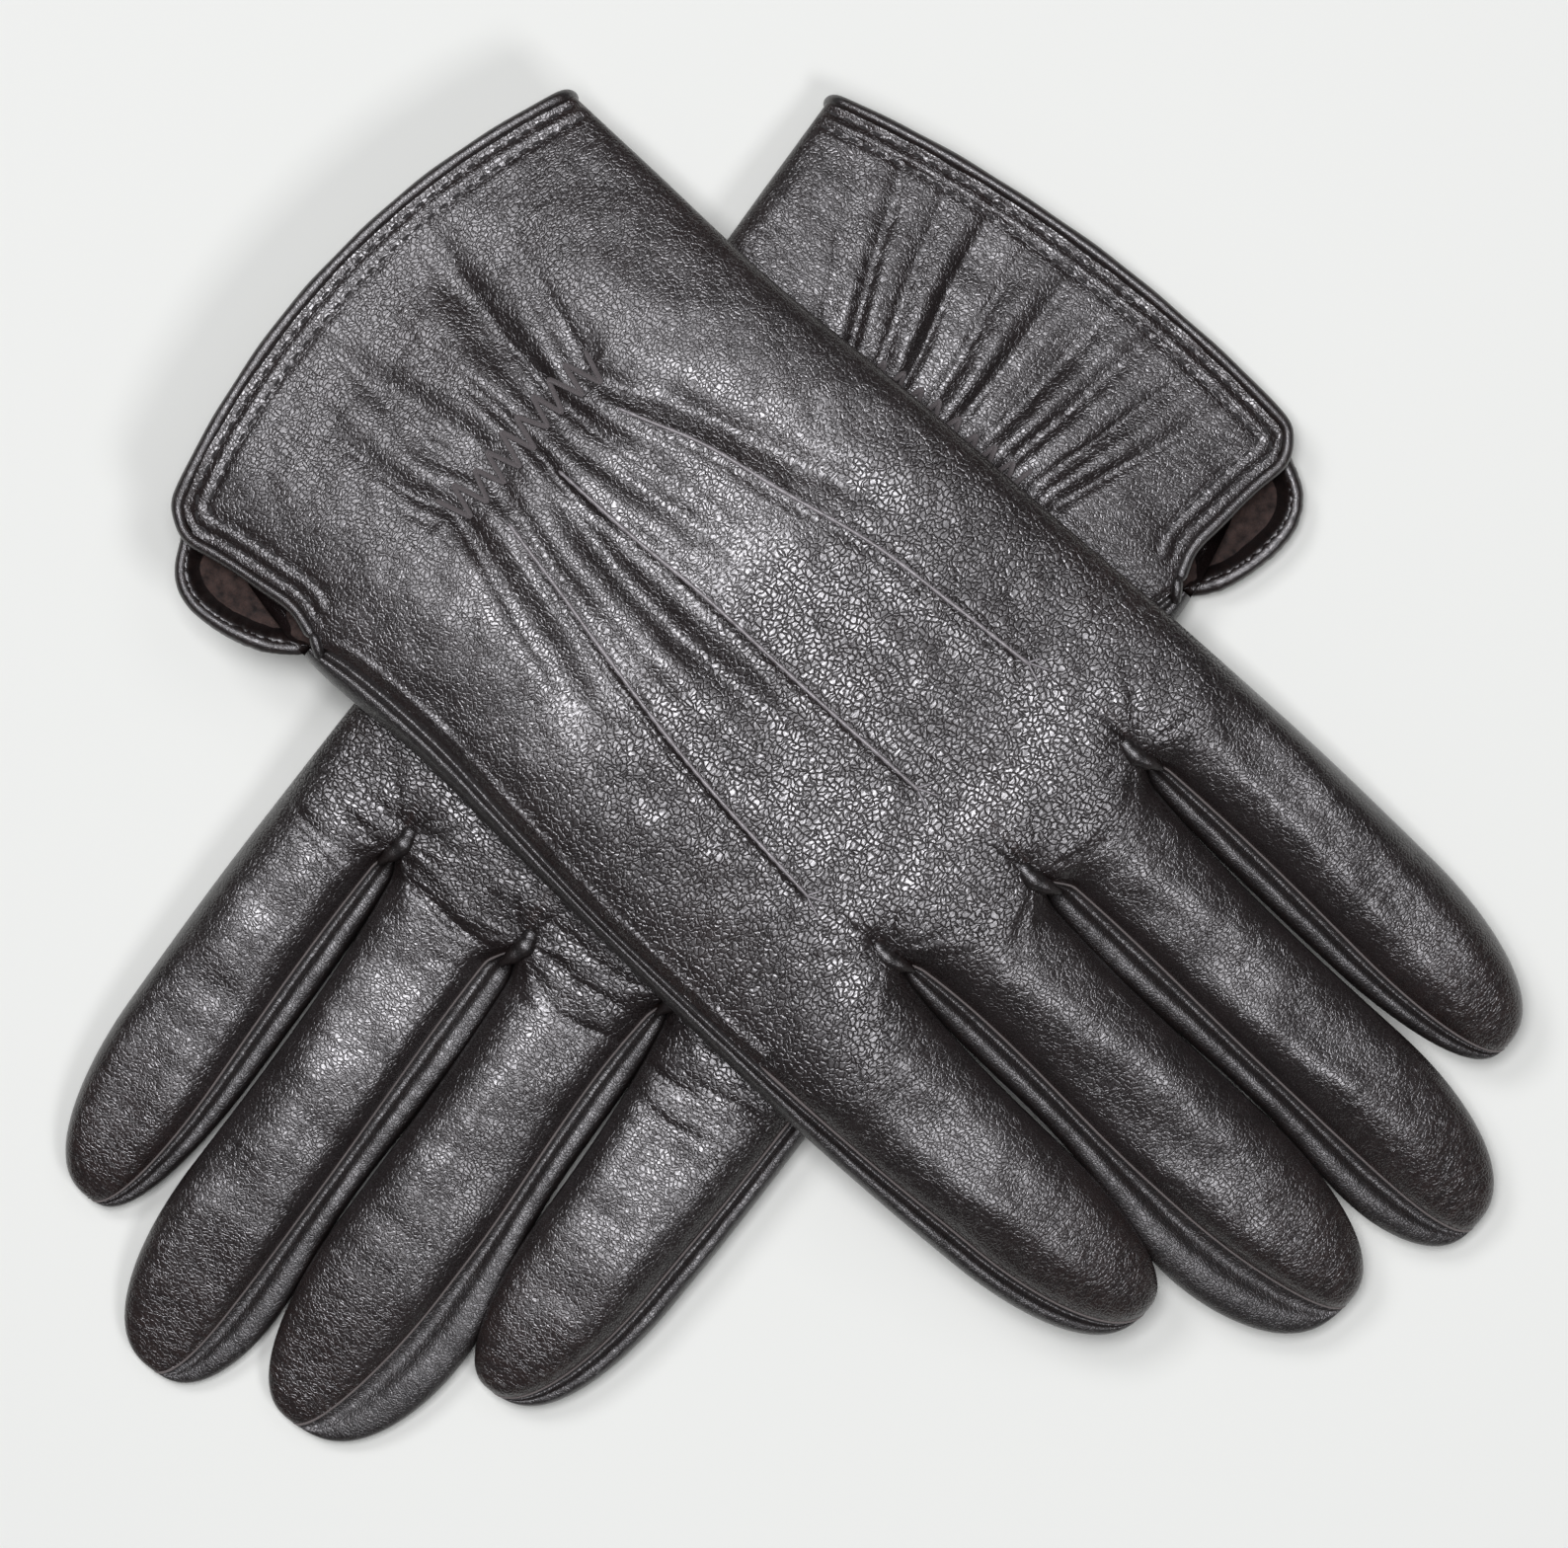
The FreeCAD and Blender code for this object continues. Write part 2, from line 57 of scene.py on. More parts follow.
def easeStep(value, start, end):
    # a smooth step: 0 before start, 1 after end
    t = np.clip((value - start) / (end - start), 0.0, 1.0)
    return t * t * (3.0 - 2.0 * t)


def mix(a, b, t):
    return a + (b - a) * t


def bell(value, width):
    # a bell curve: 1 at 0, falling as the square of value / width
    return np.exp(-((value / width) ** 2))


def through(points, at):
    # a smooth line through given points: Hermite spans with slopes from both neighbours
    knots = np.array(points, dtype=float)
    x, y = knots[:, 0], knots[:, 1]
    slope = np.gradient(y, x)
    at = np.clip(at, x[0], x[-1])
    span = np.clip(np.searchsorted(x, at) - 1, 0, len(x) - 2)
    width = x[span + 1] - x[span]
    t = (at - x[span]) / width
    a = (2 * t**3 - 3 * t**2 + 1) * y[span] + (t**3 - 2 * t**2 + t) * width * slope[span]
    b = (3 * t**2 - 2 * t**3) * y[span + 1] + (t**3 - t**2) * width * slope[span + 1]
    return a + b


def waves(x, y, seed, count, shortest, longest):
    # cloth-like unevenness: a sum of sine waves of random heading, length and phase, about -1..1
    dice = np.random.default_rng(seed)
    total = np.zeros(np.broadcast(x, y).shape)
    for heading, length, phase in dice.random((count, 3)):
        turn = heading * math.pi
        pitch = shortest + (longest - shortest) * length
        total += np.sin((x * math.cos(turn) + y * math.sin(turn)) * 2 * math.pi / pitch + phase * 7)
    return total / math.sqrt(count)


# each line's points are (along the glove, across it)
outline = {
    "radial": [(-12, -50), (0, -50), (20, -50), (45, -50), (80, -52.5), (110, -54), (140, -55.5),
               (165, -56.5), (232, -56.5)],
    "sideSeam": [(-12, 47), (0, 49.5), (5, 51.6), (10, 50.4), (20, 48.6), (28, 47.6), (33, 49), (40, 47.6),
                 (60, 46.6), (80, 48), (100, 49.4), (120, 49.5), (150, 49), (165, 48.4), (190, 46.8), (218, 45.5)],
    "side": [(-12, 46), (0, 46.5), (8, 48), (20, 50.4), (35, 52.3), (60, 51.3), (85, 52), (110, 52.6),
             (150, 53), (175, 52.2), (195, 51), (218, 50)],
}
# a finger's left edge, the seam of its back, the outer edge of its palm, and where its tip starts and ends
fingerShape = {
    "index": {"start": 200, "tip": (-42, 232), "left": outline["radial"],
              "seam": [(140, -35), (155, -36.0), (232, -35.6)], "outer": [(140, -33), (155, -31.8), (232, -31.5)]},
    "middle": {"start": 216, "tip": (-15.5, 250), "left": [(140, -34), (156, -32.0), (250, -31.7)],
               "seam": [(140, -9), (156, -10.2), (200, -10.4), (232, -10.2), (250, -9)],
               "outer": [(140, -8), (156, -5.0), (215, -4.4), (238, -1.6), (250, -1)]},
    "ring": {"start": 210, "tip": (9.5, 243), "left": [(140, -7), (157, -5.2), (215, -4.6), (243, -4.6)],
             "seam": [(140, 19), (155, 17.4), (200, 17.8), (225, 17), (243, 16)],
             "outer": [(140, 21), (155, 22.4), (190, 23.6), (212, 27.4), (243, 28.5)]},
    "little": {"start": 188, "tip": (34.5, 218), "left": [(140, 20), (155, 22.2), (200, 23.6), (218, 23.6)],
               "seam": outline["sideSeam"], "outer": outline["side"]},
}
crotches = [(-34.5, 149.0), (-7.0, 151.0), (20.0, 142.0)]  # between neighbouring fingers
crotchLean = [0.07, 0.03, -0.02]  # how each line between fingers leans as it runs on
splitRow = 139.0  # where hand pieces end and finger pieces start
hinges = {"indexAcross": 44.5, "row": 153.0, "littleRow": 146.0, "height": 5.5}
section = {"underside": 0.95, "depth": 19.0, "cuffSag": 6.0, "knuckleFall": 1.0, "fingerTop": 15.4,
           "fingerUnder": 2.5, "recess": 9.8}
tucks = [  # points are (across, along)
    [(-15, 42), (-18, 50), (-20.4, 56), (-25, 75), (-29, 92), (-31, 110), (-32.5, 126)],
    [(-1, 42), (-1.2, 50), (-1.5, 60), (-2.5, 75), (-3, 100), (-3.8, 127)],
    [(11, 42), (12.4, 50), (13.4, 56), (16, 70), (20, 95), (22.5, 126)],
]
softBands = [  # the line each follows as (along, across), then its half width, height, first and last row
    ([(42, 2), (60, 4), (75, 5), (100, 4)], 2.6, -1.15, 44, 100),
    ([(42, 6), (60, 9), (80, 11), (110, 11)], 3.2, 0.55, 50, 110),
    ([(42, -6), (60, -9), (80, -12)], 2.4, -0.8, 42, 72),
    ([(42, -21), (60, -26), (85, -34)], 3.0, -0.8, 46, 86),
    ([(42, 16), (60, 21), (85, 27)], 3.0, -0.6, 44, 80),
    ([(60, -16), (90, -18), (125, -18)], 6.0, 0.7, 60, 130),
    ([(-8, -14), (10, -12), (30, -8)], 3.4, -0.9, 4, 40),
    ([(-8, 10), (10, 9), (30, 5)], 3.4, -0.8, 6, 40),
    ([(-8, -2), (10, -2), (30, -1)], 4.0, 0.6, 6, 40),
]
elastic = {"row": 35.5, "half": 18.0, "width": 4.0, "under": 3.1, "rib": 0.25, "ribPitch": 1.6}
zigzag = {"swing": 3.2, "teeth": 9, "jitter": 0.4, "thread": 0.5, "lift": 0.42}

# side mirrors the left glove; a fold is its pitch, height and reach above and below the elastic
gloves = {
    "right": {"side": 1, "seed": 11, "droop": 6.0, "slope": 12.5, "baseCrease": 0.12, "tipFall": 0.0003,
              "bow": 9.0, "wobble": 0.7, "reach": (15, 22),
              "folds": [(8.6, 0.95, 26, 20), (5.1, 0.5, 11, 10), (3.3, 0.3, 5, 5)]},
    "left": {"side": -1, "seed": 29, "droop": 0.0, "slope": 1.4, "baseCrease": 1.0, "tipFall": 0.0010,
             "bow": 5.0, "wobble": 0.2, "reach": (19, 30),
             "folds": [(5.6, 1.3, 24, 34), (3.7, 0.4, 12, 20), (2.7, 0.2, 6, 8)]},
}


def setUpFrame(glove):
    # the glove's own axes in the shared frame, read from its index and ring hinges
    look = gloves[glove]
    index = np.array(joints[glove + "_index_curl"]["pos_m"]) * 1000
    ring = np.array(joints[glove + "_ring_curl"]["pos_m"]) * 1000
    across = (ring - index) / np.linalg.norm(ring - index)
    along = np.array([-across[1], across[0], 0.0]) * look["side"]
    look["across"], look["along"] = across, along
    look["origin"] = index + across * hinges["indexAcross"] - along * hinges["row"] - np.array([0, 0, hinges["height"]])


for glove in gloves:
    setUpFrame(glove)


def lowest(look, y):
    # height of the glove's underside along its length, over its own level
    hand = -look["droop"] * (1 - easeStep(y, -14, 26)) * section["underside"]
    finger = section["fingerUnder"] - math.tan(math.radians(look["slope"])) * (y - hinges["row"])
    return mix(hand, finger, easeStep(y, 138, 160))


def highest(look, y):
    # height of its back
    hand = section["depth"] - (look["droop"] + section["cuffSag"]) * (1 - easeStep(y, -16, 52))
    hand = hand - section["knuckleFall"] * easeStep(y, 90, 140)
    finger = section["fingerTop"] - math.tan(math.radians(look["slope"])) * (y - hinges["row"])
    finger = finger - look["tipFall"] * np.clip(y - 172, 0, None) ** 2
    return mix(hand, finger, easeStep(y, 132, 162))


def seamHeights(look, y):
    # heights of the radial fold, the outside seam and the widest line of the little finger's side
    low, high = lowest(look, y), highest(look, y)
    inFinger = easeStep(y, 138, 158)
    return {
        "fold": mix(low + (high - low) * 0.62, low + (high - low) * 0.42, inFinger),
        "seam": mix(low + (high - low) * 0.74, low + (high - low) * 0.66, inFinger),
        "side": low + (high - low) * 0.42,
        "root": low + (high - low) * 0.34,
        "lip": low + (high - low) * 0.60,
    }


def recessHeight(x, y):
    # the hollow under the palm that the tucked thumb lies in
    return section["recess"] * easeStep(y, 50, 60) * (1 - easeStep(y, 136, 143)) * (1 - easeStep(x, -10, -3))


def handSurface(look, x, y, layer):
    # across the hand the height is a superellipse, cut short at the outside seam on the back
    z = seamHeights(look, y)
    left = through(outline["radial"], y)
    if layer == "back":
        right, edge, power, reach = through(outline["sideSeam"], y), z["seam"], 2.9, 0.95
        crown = highest(look, y)
    else:
        right, edge, power, reach = through(outline["side"], y), z["side"], 3.2, 1.0
        crown = lowest(look, y) + recessHeight(x, y)
    middle = (left + right) / 2
    u = np.clip((x - middle) / (right - middle), -1, 1)
    onLeft = u < 0
    a = np.abs(u) * np.where(onLeft, 1.0, reach)
    drop = 1 - (1 - np.clip(a, 0, 1) ** power) ** (1 / power)
    full = 1 - (1 - reach**power) ** (1 / power)
    drop = np.where(onLeft, drop, drop / full)
    return crown + (np.where(onLeft, z["fold"], edge) - crown) * drop


gathers = {"fan": 46.0, "spread": 0.8, "peak": 1.5, "valley": 0.95, "pinch": 1.3}
tuckRidge = {"rise": 0.2, "near": 0.42, "far": 0.12, "swell": 0.3}
puckers = {"height": 0.17, "reach": 9.0, "rays": (17, 11)}
rootCreases = [(151.5, 0.55, 1.4), (155.5, 0.8, -1.0), (146.0, 0.35, 0.8), (160.0, 0.3, 1.2)]  # row, depth, bend
hem = {"rows": (2.6, 5.4), "sink": 0.38, "plump": 0.22, "rim": 0.15}


def relief(look, x, y, layer):
    # raised and sunken detail of the leather, added to its height
    seed = look["seed"]
    soft = 0.30 * waves(x, y, seed, 7, 26, 60) + 0.07 * waves(x, y, seed + 1, 9, 7, 16)
    soft += 0.018 * waves(x, y, seed + 2, 12, 2.2, 5.0)
    if layer == "palm":
        return soft
    # gathers fan out from the elastic: round folds with narrow valleys, fading up and down
    away = y - elastic["row"]
    fan = x * gathers["fan"] / (gathers["fan"] + np.abs(away) * gathers["spread"])
    fan = fan + look["wobble"] * waves(x, y, seed + 3, 4, 16, 34)
    up, down = np.clip(away, 0, None), np.clip(-away, 0, None)
    gather = np.zeros(x.shape)
    for pitch, height, reachUp, reachDown in look["folds"]:
        fold = gathers["peak"] * np.abs(np.sin(math.pi * (fan / pitch + 0.37 * seed))) ** 0.75 - gathers["valley"]
        gather += height * fold * np.exp(-((up / reachUp) ** 1.3) - (down / reachDown) ** 1.3)
    inside = 1 - easeStep(np.abs(fan), look["reach"][0], look["reach"][1] + 3 * (away < 0))
    gather = gather * inside
    gather = gather * (1 - 0.45 * np.exp(-((away / 4.5) ** 2)))
    pinch = -gathers["pinch"] * np.exp(-((away / 7.5) ** 2)) * inside
    # broad soft bands beside the tucks
    bands = np.zeros(x.shape)
    for line, width, height, first, last in softBands:
        off = (x - through(line, y)) / width
        ends = easeStep(y, first - 8, first + 8) * (1 - easeStep(y, last - 20, last + 12))
        bands += height * np.exp(-(off**2)) * ends
    # each tuck is a narrow ridge with a sunken line on either side
    ridge = np.zeros(x.shape)
    for line in tucks:
        line = np.array(line)
        centre = through([(point[1], point[0]) for point in line], y)
        off = x - centre
        ends = easeStep(y, line[0][1] - 3, line[0][1] + 8) * (1 - easeStep(y, line[-1][1] - 3, line[-1][1] + 1.5))
        ridge += ends * (tuckRidge["rise"] * bell(off, 0.8) - tuckRidge["near"] * bell(off - 1.2, 0.6))
        ridge += ends * (-tuckRidge["far"] * bell(off + 1.3, 0.8) + tuckRidge["swell"] * bell(off, 5.0))
    ridge = ridge + bands
    # puckers where the fingers part
    pucker = np.zeros(x.shape)
    for number, (cx, cy) in enumerate(crotches):
        far = np.hypot(x - cx, y - cy)
        heading = np.arctan2(x - cx, cy - y)
        many, few = puckers["rays"]
        rays = np.sin(heading * many + number * 2 + seed) + 0.8 * np.sin(heading * few + number) - 0.5
        pucker += puckers["height"] * rays * np.exp(-((far / puckers["reach"]) ** 1.6)) * easeStep(far, 1.0, 4.0)
    # creases across the finger roots
    crease = np.zeros(x.shape)
    for row, depth, bend in rootCreases:
        line = row + bend * np.sin(x / 9.0 + seed) + 0.8 * np.sin(x / 3.7)
        broken = 0.5 + 0.5 * np.sin(x / 6.3 + row)
        crease -= look["baseCrease"] * depth * broken * bell(y - line, 0.9)
    # two sunken stitch rows behind the rolled edge of the cuff and of the vent
    fromVent = through(outline["sideSeam"], y) - 0.4 - x + 60 * easeStep(y, 31, 37)
    fromEdge = np.minimum(y - cuffEdge(look, x), fromVent)
    rows = sum(bell(fromEdge - at, 0.6) for at in hem["rows"])
    turned = -hem["sink"] * rows + hem["plump"] * bell(fromEdge - 4.0, 0.9) + hem["rim"] * bell(fromEdge - 1.2, 0.9)
    return soft + gather + pinch + ridge + pucker + crease + turned


def cuffEdge(look, x):
    # the cuff's edge bows towards the arm
    return -look["bow"] * (1 - np.clip(np.abs(x) / 50.0, 0, 1) ** 2.0)


def handHeight(look, x, y, layer="back"):
    return handSurface(look, x, y, layer) + relief(look, x, y, layer)


def fingerEdges(finger, look, y, g, layer):
    # left and right edge of a finger's strip, its crown, and how far each has left the hand (0..1)
    shape = fingerShape[finger]
    number = fingers.index(finger)
    z = seamHeights(look, y)
    low, high = lowest(look, y), highest(look, y)
    middle = (low + high) / 2
    tipX = shape["tip"][0]
    back = layer == "back"
    left = through(shape["left"], y) + (0 if back or number == 0 else 0.7)
    right = through(shape["seam" if back else "outer"], y)
    leftZ = z["fold"] if number == 0 else (z["lip"] if back else z["root"])
    rightZ = z["seam" if back else "side"]
    crown = (high if back else low) + 0 * y
    taper = g**0.8
    left = tipX + (left - tipX) * g**0.78
    right = tipX + (right - tipX) * g**(0.9 if back else 0.74)
    leftZ, rightZ, crown = (middle + (value - middle) * taper for value in (leftZ, rightZ, crown))
    edges = []
    for at, edgeX, edgeZ in ((number - 1, left, leftZ), (number, right, rightZ)):
        if 0 <= at <= 2:
            cx, cy = crotches[at]
            lineX = cx + crotchLean[at] * (y - cy)
            valley = middle + (5.2 if back else -1.5)
            apart = easeStep(y, cy, cy + 7)
            drop = easeStep(y, cy - 7, cy + 2)
            edges.append((mix(lineX, edgeX, apart), mix(valley, edgeZ, apart), drop, drop))
        else:
            loose = easeStep(y, 138, 156)
            edges.append((edgeX, edgeZ, loose, np.ones_like(y)))
    return edges, crown


def strip(finger, look, y, g, s, layer):
    # one finger's width of the glove's back or palm, from the cuff to the fingertip:
    # x runs between the edges, evenly in the hand and as a superellipse on the finger
    (left, right), crown = fingerEdges(finger, look, y, g, layer)
    y2, s2 = np.broadcast_arrays(y[:, None], s[None, :])
    power = 2.5
    a = np.abs(s2)
    onLeft = s2 < 0
    reach = np.where(onLeft, 1.0, 0.86 if layer == "back" else 1.0)
    sine = np.sin(a * math.pi / 2 * reach) ** (2 / power) / np.sin(math.pi / 2 * reach) ** (2 / power)
    cosine = np.clip(np.cos(a * math.pi / 2 * reach), 0, 1) ** (2 / power)
    ending = np.clip(np.cos(math.pi / 2 * reach), 0, 1) ** (2 / power)
    cosine = (cosine - ending) / (1 - ending)
    pick = lambda k: np.where(onLeft, left[k][:, None], right[k][:, None])
    middle = ((left[0] + right[0]) / 2)[:, None]
    x = middle + np.sign(s2) * mix(a, sine, pick(3)) * np.abs(pick(0) - middle)
    onFinger = pick(1) + (crown[:, None] - pick(1)) * cosine
    share = mix(left[2][:, None], right[2][:, None], (s2 + 1) / 2)
    inHand = handSurface(look, x, y2, layer)
    z = mix(inHand, onFinger, share)
    steep = mix(1.0, np.clip(cosine, 0, 1) ** 0.6, pick(3))
    return x, y2, z, steep, share


def rowsOf(finger, step, tipRows):
    # rows along a finger: even up to where its tip starts, then evenly by angle to the tip
    shape = fingerShape[finger]
    start, tip = shape["start"], shape["tip"][1]
    straight = np.arange(splitRow, start, step)
    angle = np.linspace(0, math.pi / 2, tipRows)
    y = np.concatenate([straight, start + (tip - start) * np.sin(angle)])
    g = np.concatenate([np.ones(len(straight)), np.cos(angle)])
    return y, np.clip(g, 0, 1)


def place(look, x, y, z):
    # from the glove's own millimetres to the shared frame's metres
    points = look["origin"] + x[..., None] * look["across"] + y[..., None] * look["along"]
    points = points + z[..., None] * np.array([0, 0, 1.0])
    return points / 1000.0


def startMaterial(name):
    material = bpy.data.materials.new(name)
    material.use_nodes = True
    tree = material.node_tree
    tree.nodes.clear()
    output = tree.nodes.new("ShaderNodeOutputMaterial")
    shader = tree.nodes.new("ShaderNodeBsdfPrincipled")
    tree.links.new(shader.outputs[0], output.inputs[0])
    return material, tree, shader


def add(tree, kind, inputs=None, **settings):
    # a node with its settings; an input is a value or another node's output
    node = tree.nodes.new(kind)
    for key, value in settings.items():
        setattr(node, key, value)
    for key, value in (inputs or {}).items():
        if isinstance(value, bpy.types.NodeSocket):
            tree.links.new(value, node.inputs[key])
        else:
            node.inputs[key].default_value = value
    return node


def blendColour(tree, factor, first, second):
    return add(tree, "ShaderNodeMix", {0: factor, 6: first, 7: second}, data_type="RGBA").outputs[2]


def spread(tree, value, low, high, newLow, newHigh):
    return add(tree, "ShaderNodeMapRange", {"Value": value, "From Min": low, "From Max": high,
                                            "To Min": newLow, "To Max": newHigh}).outputs[0]


leatherLook = {
    "glove leather": {"dark": (0.0066, 0.0034, 0.0031), "light": (0.0115, 0.0068, 0.0066),
                      "worn": (0.030, 0.011, 0.007), "cell": 0.98, "depth": 0.105, "rough": 0.30},
    "gusset leather": {"dark": (0.0035, 0.0024, 0.0024), "light": (0.0065, 0.0048, 0.0048),
                       "worn": (0.020, 0.009, 0.006), "cell": 0.8, "depth": 0.09, "rough": 0.38},
    "edge leather": {"dark": (0.0035, 0.0024, 0.0024), "light": (0.0070, 0.0050, 0.0050),
                     "worn": (0.024, 0.011, 0.008), "cell": 0.7, "depth": 0.05, "rough": 0.33},
    # the tuck ridges' pale grey is a painted highlight, not the black leather's own colour
    "tuck ridge painted highlight": {"dark": (0.13, 0.12, 0.124), "light": (0.29, 0.275, 0.285), "worn": (0.30, 0.27, 0.27),
                     "cell": 0.6, "depth": 0.04, "rough": 0.36},
}


def noise(tree, where, scale, detail=2.0, **inputs):
    # flat noise in millimetres of the leather's own pattern
    return add(tree, "ShaderNodeTexNoise", {"Vector": where, "Scale": scale, "Detail": detail, **inputs},
               noise_dimensions="2D")


def product(tree, first, second, more=0.0):
    # first times second, plus more
    return add(tree, "ShaderNodeMath", {0: first, 1: second, 2: more}, operation="MULTIPLY_ADD").outputs[0]


def leatherMaterial(name, look):
    # pebbled grain: cells with thin creases between, the creases painted dark as shade, on a coarser swell, with pores
    # and fine wrinkles
    material, tree, shader = startMaterial(name)
    flat = add(tree, "ShaderNodeUVMap", uv_map="flat").outputs[0]
    warped = flat
    for scale, detail, push in ((0.45, 2.0, (1.6, 1.6, 0.0)), (0.85, 1.0, (0.35, 0.55, 0.0))):
        drift = noise(tree, flat, scale, detail).outputs["Color"]
        warped = add(tree, "ShaderNodeVectorMath", {0: drift, 1: push, 2: warped}, operation="MULTIPLY_ADD").outputs[0]
    warped = add(tree, "ShaderNodeVectorMath", {0: warped, 1: (0.84, 1.2, 1.0)}, operation="MULTIPLY").outputs[0]
    large, small = (add(tree, "ShaderNodeTexVoronoi",
                        {"Vector": warped, "Scale": scale / look["cell"], "Randomness": 0.95},
                        voronoi_dimensions="2D", feature="DISTANCE_TO_EDGE").outputs["Distance"]
                    for scale in (1.0, 1.3))
    grain = add(tree, "ShaderNodeAttribute", attribute_name="grain").outputs["Fac"]
    cells = add(tree, "ShaderNodeMix", {0: spread(tree, grain, 0.3, 0.8, 0.0, 1.0), 2: small, 3: large}).outputs[0]
    pebble = add(tree, "ShaderNodeMapRange", {"Value": cells, "From Min": 0.0, "From Max": 0.25},
                 interpolation_type="SMOOTHSTEP").outputs[0]
    coarse = add(tree, "ShaderNodeTexVoronoi", {"Vector": warped, "Scale": 0.42 / look["cell"], "Randomness": 1.0},
                 voronoi_dimensions="2D", feature="SMOOTH_F1").outputs["Distance"]
    swell = noise(tree, flat, 0.22).outputs["Fac"]
    pores = noise(tree, flat, 2.6).outputs["Fac"]
    stretch = add(tree, "ShaderNodeMapping", {"Vector": flat, "Scale": (0.22, 0.9, 1.0)}).outputs[0]
    wrinkle = noise(tree, stretch, 1.0).outputs["Fac"]
    height = 0.0
    for value, amount in ((pebble, 0.58), (coarse, -0.16), (wrinkle, 0.95), (swell, 1.6)):
        height = product(tree, value, amount, height)
    bump = add(tree, "ShaderNodeBump", {"Height": height, "Strength": spread(tree, grain, 0.0, 1.0, 0.62, 1.0),
                                        "Distance": look["depth"] / 1000})
    tree.links.new(bump.outputs[0], shader.inputs["Normal"])
    patch = spread(tree, swell, 0.3, 0.7, 0.0, 1.0)
    colour = blendColour(tree, patch, (*look["dark"], 1), (*look["light"], 1))
    # painted shade: the creases between cells get a fifth of the dark tone and, further on, less specular reflection
    crease = product(tree, spread(tree, cells, 0.0, 0.10, 1.0, 0.0), spread(tree, grain, 0.1, 0.9, 0.4, 0.85))
    colour = blendColour(tree, crease, colour, (*[0.2 * channel for channel in look["dark"]], 1))
    wear = add(tree, "ShaderNodeAttribute", attribute_name="wear").outputs["Fac"]
    rubbed = product(tree, wear, spread(tree, wrinkle, 0.35, 0.65, 0.25, 1.0))
    colour = blendColour(tree, rubbed, colour, (*look["worn"], 1))
    tree.links.new(colour, shader.inputs["Base Color"])
    rough = spread(tree, pores, 0.3, 0.7, look["rough"] - 0.04, look["rough"] + 0.06)
    rough = product(tree, crease, 0.25, rough)
    tree.links.new(rough, shader.inputs["Roughness"])
    # painted shade: specular reflection is cut almost to nothing in the creases
    tree.links.new(spread(tree, crease, 0.0, 0.9, 1.0, 0.05), shader.inputs["Specular IOR Level"])
    shader.inputs["IOR"].default_value = 1.60
    return material


def fleeceMaterial(name, dark, light):
    # brushed fleece: clumped fibres in two browns with a soft bloom
    material, tree, shader = startMaterial(name)
    flat = add(tree, "ShaderNodeUVMap", uv_map="flat").outputs[0]
    fibres = noise(tree, flat, 2.6, 6.0, Roughness=0.75, Distortion=1.6).outputs["Fac"]
    clumps = noise(tree, flat, 0.5, 3.0).outputs["Fac"]
    tone = product(tree, fibres, clumps)
    colour = blendColour(tree, spread(tree, tone, 0.12, 0.42, 0.0, 1.0), (*dark, 1), (*light, 1))
    tree.links.new(colour, shader.inputs["Base Color"])
    bump = add(tree, "ShaderNodeBump", {"Height": tone, "Strength": 1.0, "Distance": 0.0009})
    tree.links.new(bump.outputs[0], shader.inputs["Normal"])
    shader.inputs["Roughness"].default_value = 0.95
    shader.inputs["Sheen Weight"].default_value = 0.08
    shader.inputs["Sheen Roughness"].default_value = 0.6
    shader.inputs["Specular IOR Level"].default_value = 0.2
    return material


def threadMaterial(name, dark, light, twist=2.4):
    # twisted thread: slanting plies, coloured lighter where they stand proud as a painted highlight
    material, tree, shader = startMaterial(name)
    flat = add(tree, "ShaderNodeUVMap", uv_map="flat").outputs[0]
    plies = add(tree, "ShaderNodeTexWave", {"Vector": flat, "Scale": twist, "Distortion": 0.6, "Detail": 1.0},
                bands_direction="DIAGONAL").outputs["Fac"]
    colour = blendColour(tree, plies, (*dark, 1), (*light, 1))
    tree.links.new(colour, shader.inputs["Base Color"])
    bump = add(tree, "ShaderNodeBump", {"Height": plies, "Strength": 0.8, "Distance": 0.0001})
    tree.links.new(bump.outputs[0], shader.inputs["Normal"])
    shader.inputs["Roughness"].default_value = 0.5
    shader.inputs["Sheen Weight"].default_value = 0.15
    return material


materials = {name: leatherMaterial(name, look) for name, look in leatherLook.items()}
materials["fleece lining"] = fleeceMaterial("fleece lining", (0.010, 0.006, 0.005), (0.120, 0.068, 0.054))
materials["black thread"] = threadMaterial("black thread", (0.010, 0.009, 0.009), (0.045, 0.040, 0.040))
# the zigzag thread's dark tone is its own colour; its pale grey plies are a painted highlight
materials["zigzag thread"] = threadMaterial("zigzag thread", (0.045, 0.037, 0.037), (0.20, 0.18, 0.18))
# the seam thread's pale grey is a painted highlight: the pale welt lines stand in for light caught along the seams
materials["seam thread painted highlight"] = threadMaterial("seam thread painted highlight", (0.10, 0.085, 0.08), (0.26, 0.23, 0.22))
materials["elastic tape"] = threadMaterial("elastic tape", (0.012, 0.011, 0.011), (0.05, 0.047, 0.046), 1.2)
print("finishes ready")

pieces = {}


